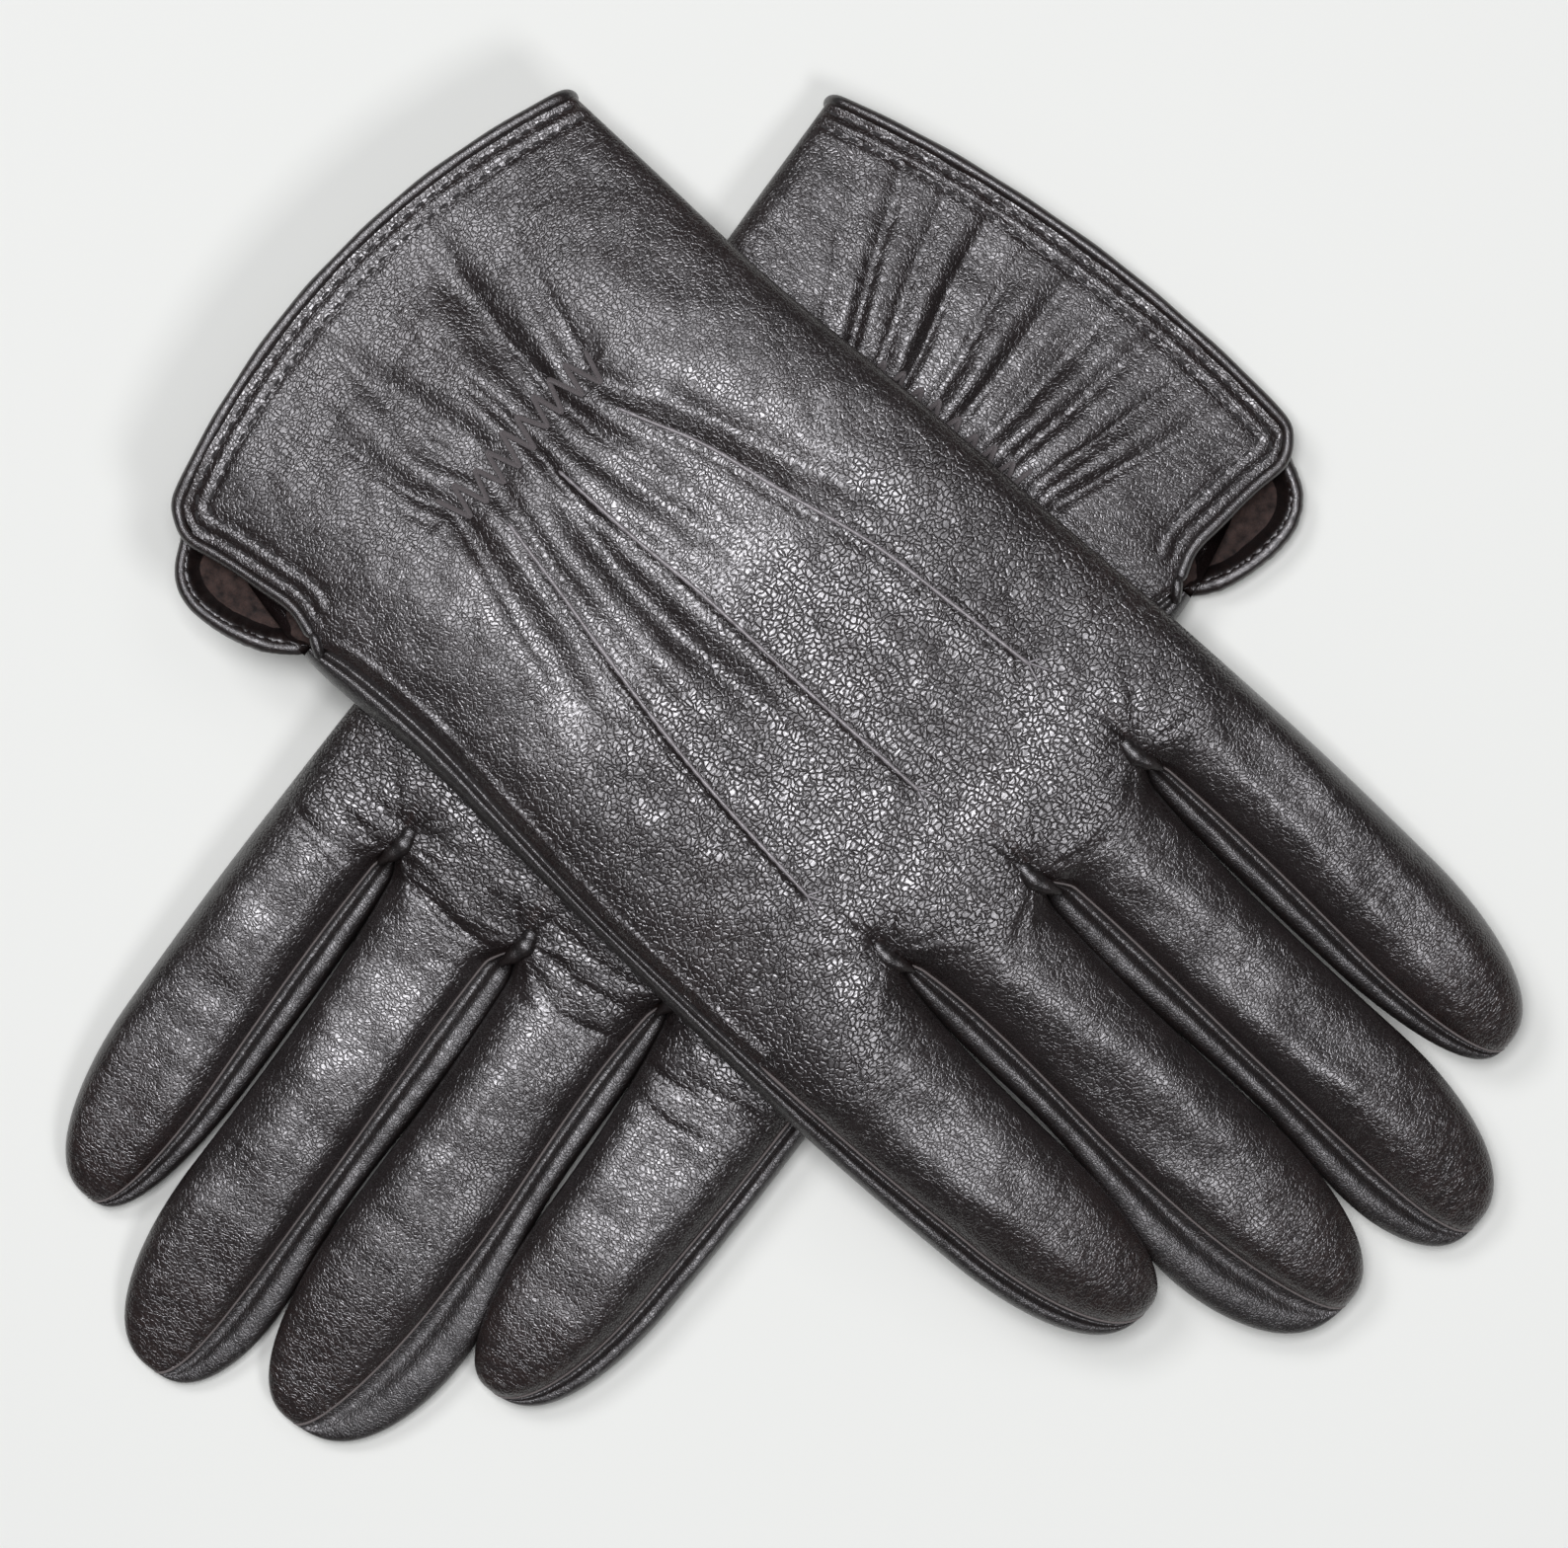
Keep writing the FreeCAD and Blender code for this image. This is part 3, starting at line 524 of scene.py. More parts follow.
def meshFrom(name, points, faces, material, uv=None, marks=None, merge=False):
    mesh = bpy.data.meshes.new(name)
    mesh.vertices.add(len(points))
    mesh.vertices.foreach_set("co", points.astype(np.float32).ravel())
    mesh.loops.add(faces.size)
    mesh.loops.foreach_set("vertex_index", faces.astype(np.int32).ravel())
    mesh.polygons.add(len(faces))
    mesh.polygons.foreach_set("loop_start", np.arange(0, faces.size, faces.shape[1], dtype=np.int32))
    mesh.polygons.foreach_set("use_smooth", np.ones(len(faces), dtype=bool))
    mesh.update(calc_edges=True)
    if uv is None:
        uv = points[:, :2] * 1000.0
    layer = mesh.uv_layers.new(name="flat")
    layer.data.foreach_set("uv", uv[faces.ravel()].astype(np.float32).ravel())
    for mark, values in (marks or {}).items():
        attribute = mesh.attributes.new(mark, "FLOAT", "POINT")
        attribute.data.foreach_set("value", values.astype(np.float32).ravel())
    if merge:
        work = bmesh.new()
        work.from_mesh(mesh)
        bmesh.ops.remove_doubles(work, verts=work.verts, dist=2e-6)
        bmesh.ops.dissolve_degenerate(work, edges=work.edges, dist=1e-6)
        work.to_mesh(mesh)
        work.free()
        mesh.polygons.foreach_set("use_smooth", np.ones(len(mesh.polygons), dtype=bool))
    obj = bpy.data.objects.new(name, mesh)
    bpy.context.scene.collection.objects.link(obj)
    obj.data.materials.append(materials[material])
    pieces[name] = obj
    return obj


def gridFaces(rows, columns, flip, wrap=False):
    index = np.arange(rows * columns).reshape(rows, columns)
    if wrap:
        index = np.concatenate([index, index[:, :1]], axis=1)
    a, b, c, d = index[:-1, :-1], index[:-1, 1:], index[1:, 1:], index[1:, :-1]
    quads = np.stack([a, b, c, d], axis=-1).reshape(-1, 4)
    return quads[:, ::-1] if flip else quads


def sheetFrom(name, look, x, y, z, material, up=True, marks=None, merge=False):
    # a grid surface of the glove, its flat pattern kept as a UV map in millimetres
    run = np.hypot(np.diff(x, axis=1), np.diff(z, axis=1))
    across = np.concatenate([np.zeros((x.shape[0], 1)), np.cumsum(run, axis=1)], axis=1)
    across = across - across[:, across.shape[1] // 2][:, None] + x[:, x.shape[1] // 2][:, None]
    uv = np.stack([across * look["side"] + look["seed"] * 7, y + look["seed"] * 13], axis=-1).reshape(-1, 2)
    flip = (look["side"] < 0) == up
    faces = gridFaces(x.shape[0], x.shape[1], flip)
    points = place(look, x, y, z).reshape(-1, 3)
    flatMarks = {mark: values.reshape(-1) for mark, values in (marks or {}).items()}
    return meshFrom(name, points, faces, material, uv, flatMarks, merge)


def tubeFrom(name, look, path, radius, material, sides=10, closed=False, squash=1.0, wear=0.0):
    # a round profile carried along a path; its ends close to a point
    path = np.asarray(path, dtype=float)
    ahead = np.roll(path, -1, axis=0) - np.roll(path, 1, axis=0)
    if not closed:
        ahead[0], ahead[-1] = path[1] - path[0], path[-1] - path[-2]
    ahead /= np.linalg.norm(ahead, axis=1)[:, None]
    side = np.cross(ahead, np.array([0.0, 0.0, 1.0]))
    side /= np.maximum(np.linalg.norm(side, axis=1), 1e-6)[:, None]
    over = np.cross(side, ahead)
    radius = np.broadcast_to(radius, (len(path),)).astype(float).copy()
    if not closed:
        cap = np.array([0.0, 0.55, 0.85])
        radius[:3] = radius[:3] * cap
        radius[-3:] = radius[-3:] * cap[::-1]
    angle = np.linspace(0, 2 * math.pi, sides, endpoint=False)
    ring = side[:, None] * np.cos(angle)[None, :, None] + over[:, None] * np.sin(angle)[None, :, None] * squash
    points = path[:, None] + ring * radius[:, None, None]
    x, y, z = points[..., 0], points[..., 1], points[..., 2]
    run = np.concatenate([[0], np.cumsum(np.linalg.norm(np.diff(path, axis=0), axis=1))])
    girth = angle * radius.mean()
    uv = np.stack(np.broadcast_arrays(girth[None, :], run[:, None]), axis=-1).reshape(-1, 2)
    faces = gridFaces(len(path), sides, look["side"] > 0, wrap=True)
    if closed:
        first = np.arange(sides)
        last = first + (len(path) - 1) * sides
        belt = np.stack([last, np.roll(last, -1), np.roll(first, -1), first], axis=-1)
        faces = np.concatenate([faces, belt[:, ::-1] if look["side"] > 0 else belt])
    marks = {"wear": np.full(len(path) * sides, wear)}
    return meshFrom(name, place(look, x, y, z).reshape(-1, 3), faces, material, uv, marks, merge=not closed)


def stitchesFrom(name, look, path, length, gap, thick, rise):
    # a row of stitches: a small plump capsule repeated along a path at an even pitch
    path = np.asarray(path, dtype=float)
    run = np.concatenate([[0], np.cumsum(np.linalg.norm(np.diff(path, axis=0), axis=1))])
    centres = np.arange(length / 2, run[-1] - length / 2, length + gap)
    at = lambda value: np.stack([np.interp(value, run, path[:, k]) for k in range(3)], axis=-1)
    middle = at(centres)
    ahead = at(centres + length * 0.35) - at(centres - length * 0.35)
    ahead /= np.linalg.norm(ahead, axis=1)[:, None]
    side = np.cross(ahead, np.array([0.0, 0.0, 1.0]))
    over = np.cross(side, ahead)
    v = np.linspace(-1, 1, 6)
    bulge = np.sqrt(np.clip(1 - np.abs(v) ** 2.6, 0, 1))
    u = np.linspace(0, 2 * math.pi, 6, endpoint=False)
    lengthwise = (v[:, None] * length / 2 + 0 * u[None, :])
    sidewise = bulge[:, None] * np.cos(u)[None, :] * thick
    upwise = bulge[:, None] * np.sin(u)[None, :] * thick + rise - 0.12 * v[:, None] ** 2
    shape = np.stack([lengthwise, sidewise, upwise], axis=-1).reshape(-1, 3)
    axes = np.stack([ahead, side, over], axis=1)
    points = middle[:, None] + np.einsum("pk,nkc->npc", shape, axes)
    one = gridFaces(6, 6, look["side"] > 0, wrap=True)
    faces = (one[None] + np.arange(len(middle))[:, None, None] * len(shape)).reshape(-1, 4)
    uv = np.tile(np.stack([lengthwise, sidewise], axis=-1).reshape(-1, 2), (len(middle), 1))
    flat = points.reshape(-1, 3)
    return meshFrom(name, place(look, flat[:, 0], flat[:, 1], flat[:, 2]), faces, "black thread", uv, merge=True)


handMesh = {"first": -4.5, "step": 0.6, "columns": 44, "palmColumns": 15, "palmRows": 110, "bowReach": 24.0,
            "wear": 0.35, "grainFrom": 45, "grainTo": 105}


def columnsFor(count):
    # columns across a strip, a little closer together at its edges
    even = np.linspace(-1, 1, count)
    return np.sin(even * math.pi / 2) * 0.35 + even * 0.65


def comb(look, rows, columns, layer):
    # the hand's whole back or palm: four strips side by side, sharing their edges; the rows near the
    # cuff slide so that the first one follows its bowed edge
    parts = [strip(finger, look, rows, np.ones_like(rows), columnsFor(columns), layer) for finger in fingers]
    x, y, z, steep, share = (np.concatenate([field[0]] + [part[:, 1:] for part in field[1:]], axis=1)
                             for field in zip(*parts))
    first = handMesh["first"]
    y = y + (cuffEdge(look, x) - first) * (1 - easeStep(y, first, handMesh["bowReach"]))
    z = np.where(share < 1e-6, handSurface(look, x, y, layer), z)
    return x, y, z, relief(look, x, y, layer) * steep


def makeHandBack(glove):
    look = gloves[glove]
    first = handMesh["first"]
    rows = np.linspace(first, splitRow, int((splitRow - first) / handMesh["step"]))
    x, y, z, detail = comb(look, rows, handMesh["columns"], "back")
    z = z + detail
    seamX = through(outline["sideSeam"], y)
    z = z + 0.35 * bell(x - seamX + 1.5, 0.8) * easeStep(y, 33, 40)
    edge = np.exp(-((y - cuffEdge(look, x)) / 3.0)) + 0.6 * np.exp(-np.clip(seamX - x, 0, None) / 2.0)
    edge = edge + 0.5 * np.exp(-np.clip(x - through(outline["radial"], y), 0, None) / 3.0)
    wear = np.clip(handMesh["wear"] * edge + 0.06 * waves(x, y, look["seed"] + 5, 5, 20, 50), 0, 1)
    grain = easeStep(y + 3.0 * waves(x, y, 3, 5, 20, 50), handMesh["grainFrom"], handMesh["grainTo"])
    grain = 0.15 + 0.85 * grain
    return sheetFrom(glove + "HandBack", look, x, y, z, "glove leather", marks={"wear": wear, "grain": grain})


def makeHandPalm(glove):
    look = gloves[glove]
    rows = np.linspace(handMesh["first"], splitRow, handMesh["palmRows"])
    x, y, z, detail = comb(look, rows, handMesh["palmColumns"], "palm")
    z = z + np.clip(detail, 0, None) * 0.8
    wear = np.clip(0.3 * np.exp(-(y - cuffEdge(look, x)) / 4.0), 0, 1)
    return sheetFrom(glove + "HandPalm", look, x, y, z, "glove leather", up=False, marks={"wear": wear})


fingerMesh = {"step": 0.6, "tipRows": 64, "palmStep": 1.4, "palmTipRows": 30, "flute": 0.36, "dent": 0.13,
              "lip": 0.2, "wear": 0.30}


def makeFingerSheet(glove, finger, layer):
    # a finger's back or palm, with soft flutes and dents on the back and a lip beside its seam
    look = gloves[glove]
    back = layer == "back"
    step, tipRows = ("step", "tipRows") if back else ("palmStep", "palmTipRows")
    y, g = rowsOf(finger, fingerMesh[step], fingerMesh[tipRows])
    s = columnsFor(handMesh["columns"] if back else handMesh["palmColumns"])
    x, y2, z, steep, _ = strip(finger, look, y, g, s, layer)
    tipY = fingerShape[finger]["tip"][1]
    fade = g[:, None] ** 0.5
    detail = relief(look, x, y2, layer)
    if back:
        flute = waves(x * 2.4, y2 * 0.55, look["seed"] + 8 + len(finger), 6, 22, 50)
        dent = waves(x, y2, look["seed"] + 3 + len(finger), 5, 12, 30)
        detail = detail + (fingerMesh["flute"] * flute + fingerMesh["dent"] * dent) * easeStep(y2, 150, 165)
        lip = bell(s - 0.93, 0.05)[None, :] * fingerMesh["lip"]
        z = z + lip * easeStep(y2, 150, 158) * fade
    else:
        detail = np.clip(detail, 0, None)
    z = z + detail * steep * fade
    wear = np.clip(fingerMesh["wear"] * easeStep(y2, tipY - 40, tipY) + 0.3 * bell(s - 0.93, 0.06)[None, :], 0, 1)
    name = glove + finger.capitalize() + ("Back" if back else "Palm")
    grain = 1.0 - 0.9 * easeStep(y2, splitRow + 4, splitRow + 34) + 0 * x
    return sheetFrom(name, look, x, y2, z, "glove leather", up=back, marks={"wear": wear, "grain": grain}, merge=True)


def edgeLine(glove, finger, y, g, layer, right):
    # the line along one edge of a finger's strip
    look = gloves[glove]
    s = np.array([1.0 if right else -1.0])
    x, _, z, _, _ = strip(finger, look, y, g, s, layer)
    return x[:, 0], z[:, 0]


gusset = {"step": 0.7, "tipRows": 44, "groove": 1.3, "plump": 0.5, "fold": 0.04, "swell": 0.14, "bandFrom": 34.0}


def freeRows(finger, right, step, tipRows, before):
    # the rows of a finger's side that are free of its neighbour, from a little before they part
    y, g = rowsOf(finger, step, tipRows)
    if finger == "little" and right:
        return y, g
    number = fingers.index(finger)
    keep = y > crotches[number if right else number - 1][1] - before
    return y[keep], g[keep]


def makeWall(name, glove, finger, right, y, g):
    # a gusset: from the back's edge out and down to the palm's edge, bulging like a quarter ellipse
    look = gloves[glove]
    number = fingers.index(finger)
    backX, backZ = edgeLine(glove, finger, y, g, "back", right)
    palmX, palmZ = edgeLine(glove, finger, y, g, "palm", right)
    t = np.linspace(0, 1, 22)[None, :]
    bulge = np.sin(t * math.pi / 2) ** (0.9 if right else 1.0)
    fall = np.cos(t * math.pi / 2) ** (0.62 if right else 1.0)
    groove = gusset["groove"] * bell(t / 0.10 - 1.1, 1.0) - gusset["plump"] * np.sin(t * math.pi) ** 2
    groove = groove * g[:, None] * (1 if right else 0.4)
    x = backX[:, None] + (palmX - backX)[:, None] * bulge
    z = palmZ[:, None] + (backZ - palmZ)[:, None] * fall - groove
    y2 = y[:, None] + 0 * t
    folds = gusset["fold"] * waves(x * 0.3, y2, look["seed"] + number, 6, 2.4, 6.0)
    folds = folds + gusset["swell"] * waves(x, y2, 5 + number, 4, 9, 26)
    z = z + folds * np.sin(t * math.pi) * g[:, None]
    if not right:
        x, z, y2 = x[:, ::-1], z[:, ::-1], y2[:, ::-1]
    wear = np.clip(0.25 + 0.5 * np.abs(t - 0.5) + 0 * y2, 0, 1) * 0.6
    return sheetFrom(name, look, x, y2, z, "gusset leather", marks={"wear": wear}, merge=True)


def fingerSeam(glove, finger, lift, shift=0.0):
    # the line that the seam beside a finger's back follows, as points
    y, g = freeRows(finger, True, 1.2, 26, 0)
    x, z = edgeLine(glove, finger, y, g, "back", True)
    return np.stack([x + shift, y, z + lift], axis=-1)


def handPoint(look, x, y, lift=0.0):
    x, y = np.asarray(x, dtype=float), np.asarray(y, dtype=float)
    return np.stack([x, y, handHeight(look, x, y) + lift], axis=-1)


def evenly(points, step):
    # the same line with points at an even pitch
    points = np.asarray(points, dtype=float)
    run = np.concatenate([[0], np.cumsum(np.linalg.norm(np.diff(points, axis=0), axis=1))])
    at = np.linspace(0, run[-1], max(int(run[-1] / step), 4))
    return np.stack([np.interp(at, run, points[:, k]) for k in range(3)], axis=-1)


def eased(points, times):
    # each point moves halfway to the middle of its neighbours, as many times as asked
    points = points.copy()
    for _ in range(times):
        points[1:-1] = (points[:-2] + 2 * points[1:-1] + points[2:]) / 4
    return points


flap = {"root": 45.0, "rise": 1.2, "curl": 5.0, "climb": 3.2, "nap": 0.22, "under": 0.9,
        "out": [(5, 51), (6.5, 54.5), (9, 57.2), (13, 58.8), (18, 58.6), (24, 57), (29, 54.6), (32, 52), (34, 49.8)]}


def flapSurface(look, y, t):
    # the palm's flap at the vent: it leaves the palm low down and curls up at its free edge
    x = mix(flap["root"], through(flap["out"], y), t)
    curl = flap["curl"] * t**2.4 * easeStep(35 - y, 0, 12)
    return x, lowest(look, y) + flap["rise"] + curl + flap["climb"] * easeStep(y, 22, 34)


def makeVentFlap(glove):
    look = gloves[glove]
    y, t = np.meshgrid(np.linspace(4.2, 33.6, 44), np.linspace(0, 1, 24), indexing="ij")
    x, z = flapSurface(look, y, t)
    nap = flap["nap"] * waves(x, y, look["seed"] + 40, 10, 2.5, 8)
    under = sheetFrom(glove + "VentFlap", look, x, y, z - flap["under"], "glove leather", up=False,
                      marks={"wear": 0.5 * t**4})
    fleece = sheetFrom(glove + "VentFleece", look, x, y, z + 0.3 + nap * (1 - t**6), "fleece lining")
    return under, fleece


cuff = {"step": 0.6, "easing": 10, "radius": 1.15, "uneven": 0.10, "onFlap": 0.25, "ripple": 0.05, "wear": 0.35,
        "turnIn": 2.9, "plump": 0.85, "pucker": 0.24, "puckerPitch": 1.9}


def cuffLoop(look):
    # the whole free edge: down the back's side of the vent, round the cuff, along the flap and up again
    y = np.linspace(33.5, 3.5, 24)
    backFlap = np.stack([through(outline["sideSeam"], y) - 0.3, y, 0 * y], axis=-1)
    x = np.linspace(48.5, -49.2, 90)
    backEdge = np.stack([x, cuffEdge(look, x) + 0.2, 0 * x], axis=-1)
    for line in (backFlap, backEdge):
        inX = np.minimum(line[:, 0], through(outline["sideSeam"], line[:, 1]) - 0.05)
        line[:, 2] = handSurface(look, inX, line[:, 1], "back") + 0.1
    corner = backEdge[-1]
    low = float(lowest(look, np.array(0.0)))
    sideEdge = np.array([[-49.5, 0.6, corner[2] - 2.0], [-49.6, 0.8, (corner[2] + low) / 2], [-49.2, 0.8, low + 2.2]])
    x = np.linspace(-47.5, 44.0, 70)
    palmEdge = np.stack([x, cuffEdge(look, x) + 0.9, lowest(look, cuffEdge(look, x)) + 1.2], axis=-1)
    y = np.linspace(4.6, 33.5, 24)
    flapX, flapZ = flapSurface(look, y, np.ones_like(y))
    flapEdge = np.stack([flapX, y, flapZ - 0.2], axis=-1)
    turnIn = np.array([[46.6, 1.2, palmEdge[-1][2] + 0.4], [49.2, 3.0, palmEdge[-1][2] + 1.0]])
    loop = np.concatenate([backFlap, backEdge, sideEdge, palmEdge, turnIn, flapEdge])
    return eased(evenly(loop, cuff["step"]), cuff["easing"])


def makeCuffBinding(glove):
    # the rolled edge, and on the flap the leather turned well in over the fleece, with puckers across it
    look = gloves[glove]
    path = cuffLoop(look)
    run = np.arange(len(path)) * cuff["step"]
    radius = cuff["radius"] + cuff["uneven"] * np.sin(run / 3.1 + look["seed"]) * np.sin(run / 7.7)
    onFlap = easeStep(path[:, 0], 46, 53) * easeStep(seamHeights(look, path[:, 1])["side"] - path[:, 2], -1.0, 0.5)
    ripple = cuff["ripple"] * waves(run, 0 * run, look["seed"], 6, 1.3, 2.6)
    radius = radius + onFlap * (cuff["onFlap"] + ripple)
    rim = tubeFrom(glove + "CuffRim", look, path, radius, "edge leather", sides=14, wear=cuff["wear"])
    edge = path[np.flatnonzero(path[:, 0] < 43)[-1]:]
    along = np.gradient(edge[:, :2], axis=0)
    along = eased(along / np.linalg.norm(along, axis=1, keepdims=True), 6)
    run = np.arange(len(edge)) * cuff["step"]
    width = 0.4 + cuff["turnIn"] * easeStep(run, 0, 7) * easeStep(run[-1] - run, 0, 6)
    s, across = np.meshgrid(np.arange(len(edge)), np.linspace(1, 0, 14), indexing="ij")
    x = edge[s, 0] - along[s, 1] * width[s] * across
    y = edge[s, 1] + along[s, 0] * width[s] * across
    out = np.maximum(through(flap["out"], y), 46.0)
    flat = flapSurface(look, y, np.clip((x - flap["root"]) / (out - flap["root"]), 0, 1))[1] + 0.2
    dome = np.clip(np.sin(math.pi * across), 0, 1) ** 0.7
    jitter = 1.5 * waves(run[s], 0 * run[s], look["seed"], 5, 4, 9)
    pucker = cuff["pucker"] * np.sin(run[s] * 2 * math.pi / cuff["puckerPitch"] + jitter)
    z = mix(edge[s, 2] + 0.4, flat, easeStep(across, 0, 1)) + (cuff["plump"] + pucker) * dome
    band = sheetFrom(glove + "FlapBand", look, x, y, z, "edge leather", marks={"wear": 0.3 * dome})
    return joinPieces(glove + "CuffBinding", [rim, band])


def joinPieces(name, parts):
    # several meshes made one piece, with the first one's finish
    work = bmesh.new()
    for part in parts:
        work.from_mesh(part.data)
    mesh = parts[0].data.copy()
    work.to_mesh(mesh)
    work.free()
    for part in parts:
        pieces.pop(part.name, None)
        bpy.data.objects.remove(part)
    mesh.name = name
    obj = bpy.data.objects.new(name, mesh)
    bpy.context.scene.collection.objects.link(obj)
    pieces[name] = obj
    return obj


topstitch = {"length": 2.1, "gap": 0.7, "thick": 0.3, "rise": 0.12, "palmThick": 0.26, "palmRise": -0.05,
             "palmInset": 3.4}


def makeCuffStitches(glove):
    # two rows that turn from the cuff up the vent on the back, and one row on the palm
    look = gloves[glove]
    rows = []
    for number, inset in enumerate(hem["rows"]):
        x = np.linspace(-48.6, 47.5, 120)
        along = handPoint(look, x, cuffEdge(look, x) + inset)
        up = np.linspace(4.5, 30, 30)
        side = handPoint(look, through(outline["sideSeam"], up) - inset - 0.4, up)
        path = eased(evenly(np.concatenate([along[x < 46.5 - inset], side]), 1.0), 4)
        path[:, 2] = handHeight(look, path[:, 0], path[:, 1])
        rows.append(stitchesFrom(f"{glove}CuffRow{number}", look, path, topstitch["length"], topstitch["gap"],
                                 topstitch["thick"], topstitch["rise"]))
    x = np.linspace(-44, 44, 90)
    y = cuffEdge(look, x) + topstitch["palmInset"]
    path = np.stack([x, y, handSurface(look, x, y, "palm") - 0.1], axis=-1)
    rows.append(stitchesFrom(f"{glove}CuffRow2", look, path, topstitch["length"], topstitch["gap"],
                             topstitch["palmThick"], topstitch["palmRise"]))
    return joinPieces(glove + "CuffStitches", rows)


def makeZigzag(glove):
    # the zigzag that sews the elastic down, each leg a plump thread
    look = gloves[glove]
    legs = 2 * zigzag["teeth"]
    x = np.linspace(-elastic["half"] - 1, elastic["half"] - 1, legs + 1)
    dice = np.random.default_rng(look["seed"])
    x = x + dice.uniform(-0.35, 0.35, len(x))
    y = elastic["row"] + zigzag["swing"] * np.where(np.arange(legs + 1) % 2, 1.0, -1.0)
    y = y + dice.uniform(-zigzag["jitter"], zigzag["jitter"], len(y)) + 0.7 * np.sin(x / 5.0)
    path = evenly(np.stack([x, y, 0 * x], axis=-1), 0.45)
    path[:, 2] = handHeight(look, path[:, 0], path[:, 1]) + zigzag["lift"]
    # the thread's pale plies are a painted highlight on the dark cord
    return tubeFrom(glove + "WristZigzag", look, eased(path, 2), zigzag["thread"], "zigzag thread", sides=8)


tuckWelt = {"step": 0.4, "lift": 0.16, "radius": 0.36, "bead": 0.07, "beadPitch": 2.4, "uneven": 0.04,
            "ends": [(-1.9, 4.2), (1.5, 4.6), (-2.4, 1.4)], "endRadius": 0.22}


def makeTuckWelts(glove):
    # each tuck's edge is a thin raised cord of leather, beaded by its stitches, with loose thread ends; the cord is
    # coloured pale grey as a painted highlight along the ridge
    look = gloves[glove]
    rows = []
    for number, line in enumerate(tucks):
        y = np.linspace(line[0][1] + 2, line[-1][1], 260)
        x = through([(point[1], point[0]) for point in line], y)
        path = eased(evenly(handPoint(look, x, y, tuckWelt["lift"]), tuckWelt["step"]), 2)
        run = np.arange(len(path)) * tuckWelt["step"]
        radius = tuckWelt["radius"] + tuckWelt["bead"] * np.sin(run * 2 * math.pi / tuckWelt["beadPitch"])
        radius = radius + tuckWelt["uneven"] * waves(run, 0 * run, number + 3, 5, 5, 20)
        rows.append(tubeFrom(f"{glove}TuckWelt{number}", look, path, radius, "tuck ridge painted highlight", sides=8,
                             squash=0.75, wear=0.3))
        for strand, (dx, dy) in enumerate(tuckWelt["ends"]):
            t = np.linspace(0, 1, 12)
            end = handPoint(look, x[-1] + dx * t, y[-1] - 1.0 + dy * t, 0.12)
            rows.append(tubeFrom(f"{glove}TuckEnd{number}{strand}", look, end, tuckWelt["endRadius"],
                                 "seam thread painted highlight", sides=6))
    return joinPieces(glove + "TuckWelts", rows)


ventTack = {"at": (49.2, 34.5), "radius": 1.0,
            "bar": [(-1.2, -2.2, 0.4), (-0.4, -0.8, 0.6), (0.6, 0.8, 0.2), (1.4, 2.2, -1.0)]}


def makeVentTack(glove):
    # a bar of close stitches across the vent's inner end
    look = gloves[glove]
    x, y = ventTack["at"]
    z = float(seamHeights(look, np.array([y]))["seam"][0])
    path = eased(evenly(np.array([x, y, z]) + ventTack["bar"], 0.35), 4)
    return tubeFrom(glove + "VentTack", look, path, ventTack["radius"], "edge leather", sides=14, wear=0.2)


def makeElastic(glove):
    # the ribbed tape under the zigzag, inside the leather
    look = gloves[glove]
    y, x = np.meshgrid(np.linspace(elastic["row"] - elastic["width"], elastic["row"] + elastic["width"], 14),
                       np.linspace(-elastic["half"], elastic["half"], 110), indexing="ij")
    rib = elastic["rib"] * np.sin(x * 2 * math.pi / elastic["ribPitch"])
    z = handSurface(look, x, y, "back") - elastic["under"] + rib
    return sheetFrom(glove + "ElasticTape", look, x, y, z, "elastic tape")


fleece = {"from": -5.0, "to": 131.0, "radialIn": 2.6, "sideIn": 3.4, "palmIn": 2.6, "backIn": 3.6, "nap": 0.2,
          "girth": 230}


def makeHandLining(glove):
    # a fleece tube inside the hand, a leather's thickness in from the back, palm and sides
    look = gloves[glove]
    y = np.linspace(fleece["from"], fleece["to"], 70)
    angle = np.linspace(0, 2 * math.pi, 72, endpoint=False)
    left, right = through(outline["radial"], y) + fleece["radialIn"], through(outline["side"], y) - fleece["sideIn"]
    middle, half = (left + right) / 2, (right - left) / 2
    x = middle[:, None] + half[:, None] * np.sign(np.cos(angle)) * np.abs(np.cos(angle)) ** 0.6
    y2 = y[:, None] + (cuffEdge(look, x) + 4.5) * (1 - easeStep(y, -5, 24))[:, None] + 1.6
    low = lowest(look, y)[:, None] + fleece["palmIn"] + recessHeight(x, y2)
    high = highest(look, y)[:, None] - fleece["backIn"]
    z = (low + high) / 2 + np.sin(angle)[None, :] * (high - low) / 2 * 0.98
    z = z + fleece["nap"] * waves(x, y2, 77, 8, 3, 9)
    points = place(look, x, y2, z).reshape(-1, 3)
    faces = gridFaces(len(y), len(angle), look["side"] < 0, wrap=True)
    girth = np.broadcast_to(angle / (2 * math.pi) * fleece["girth"], x.shape)
    uv = np.stack([girth, y2], axis=-1).reshape(-1, 2)
    return meshFrom(glove + "HandLining", points, faces, "fleece lining", uv)


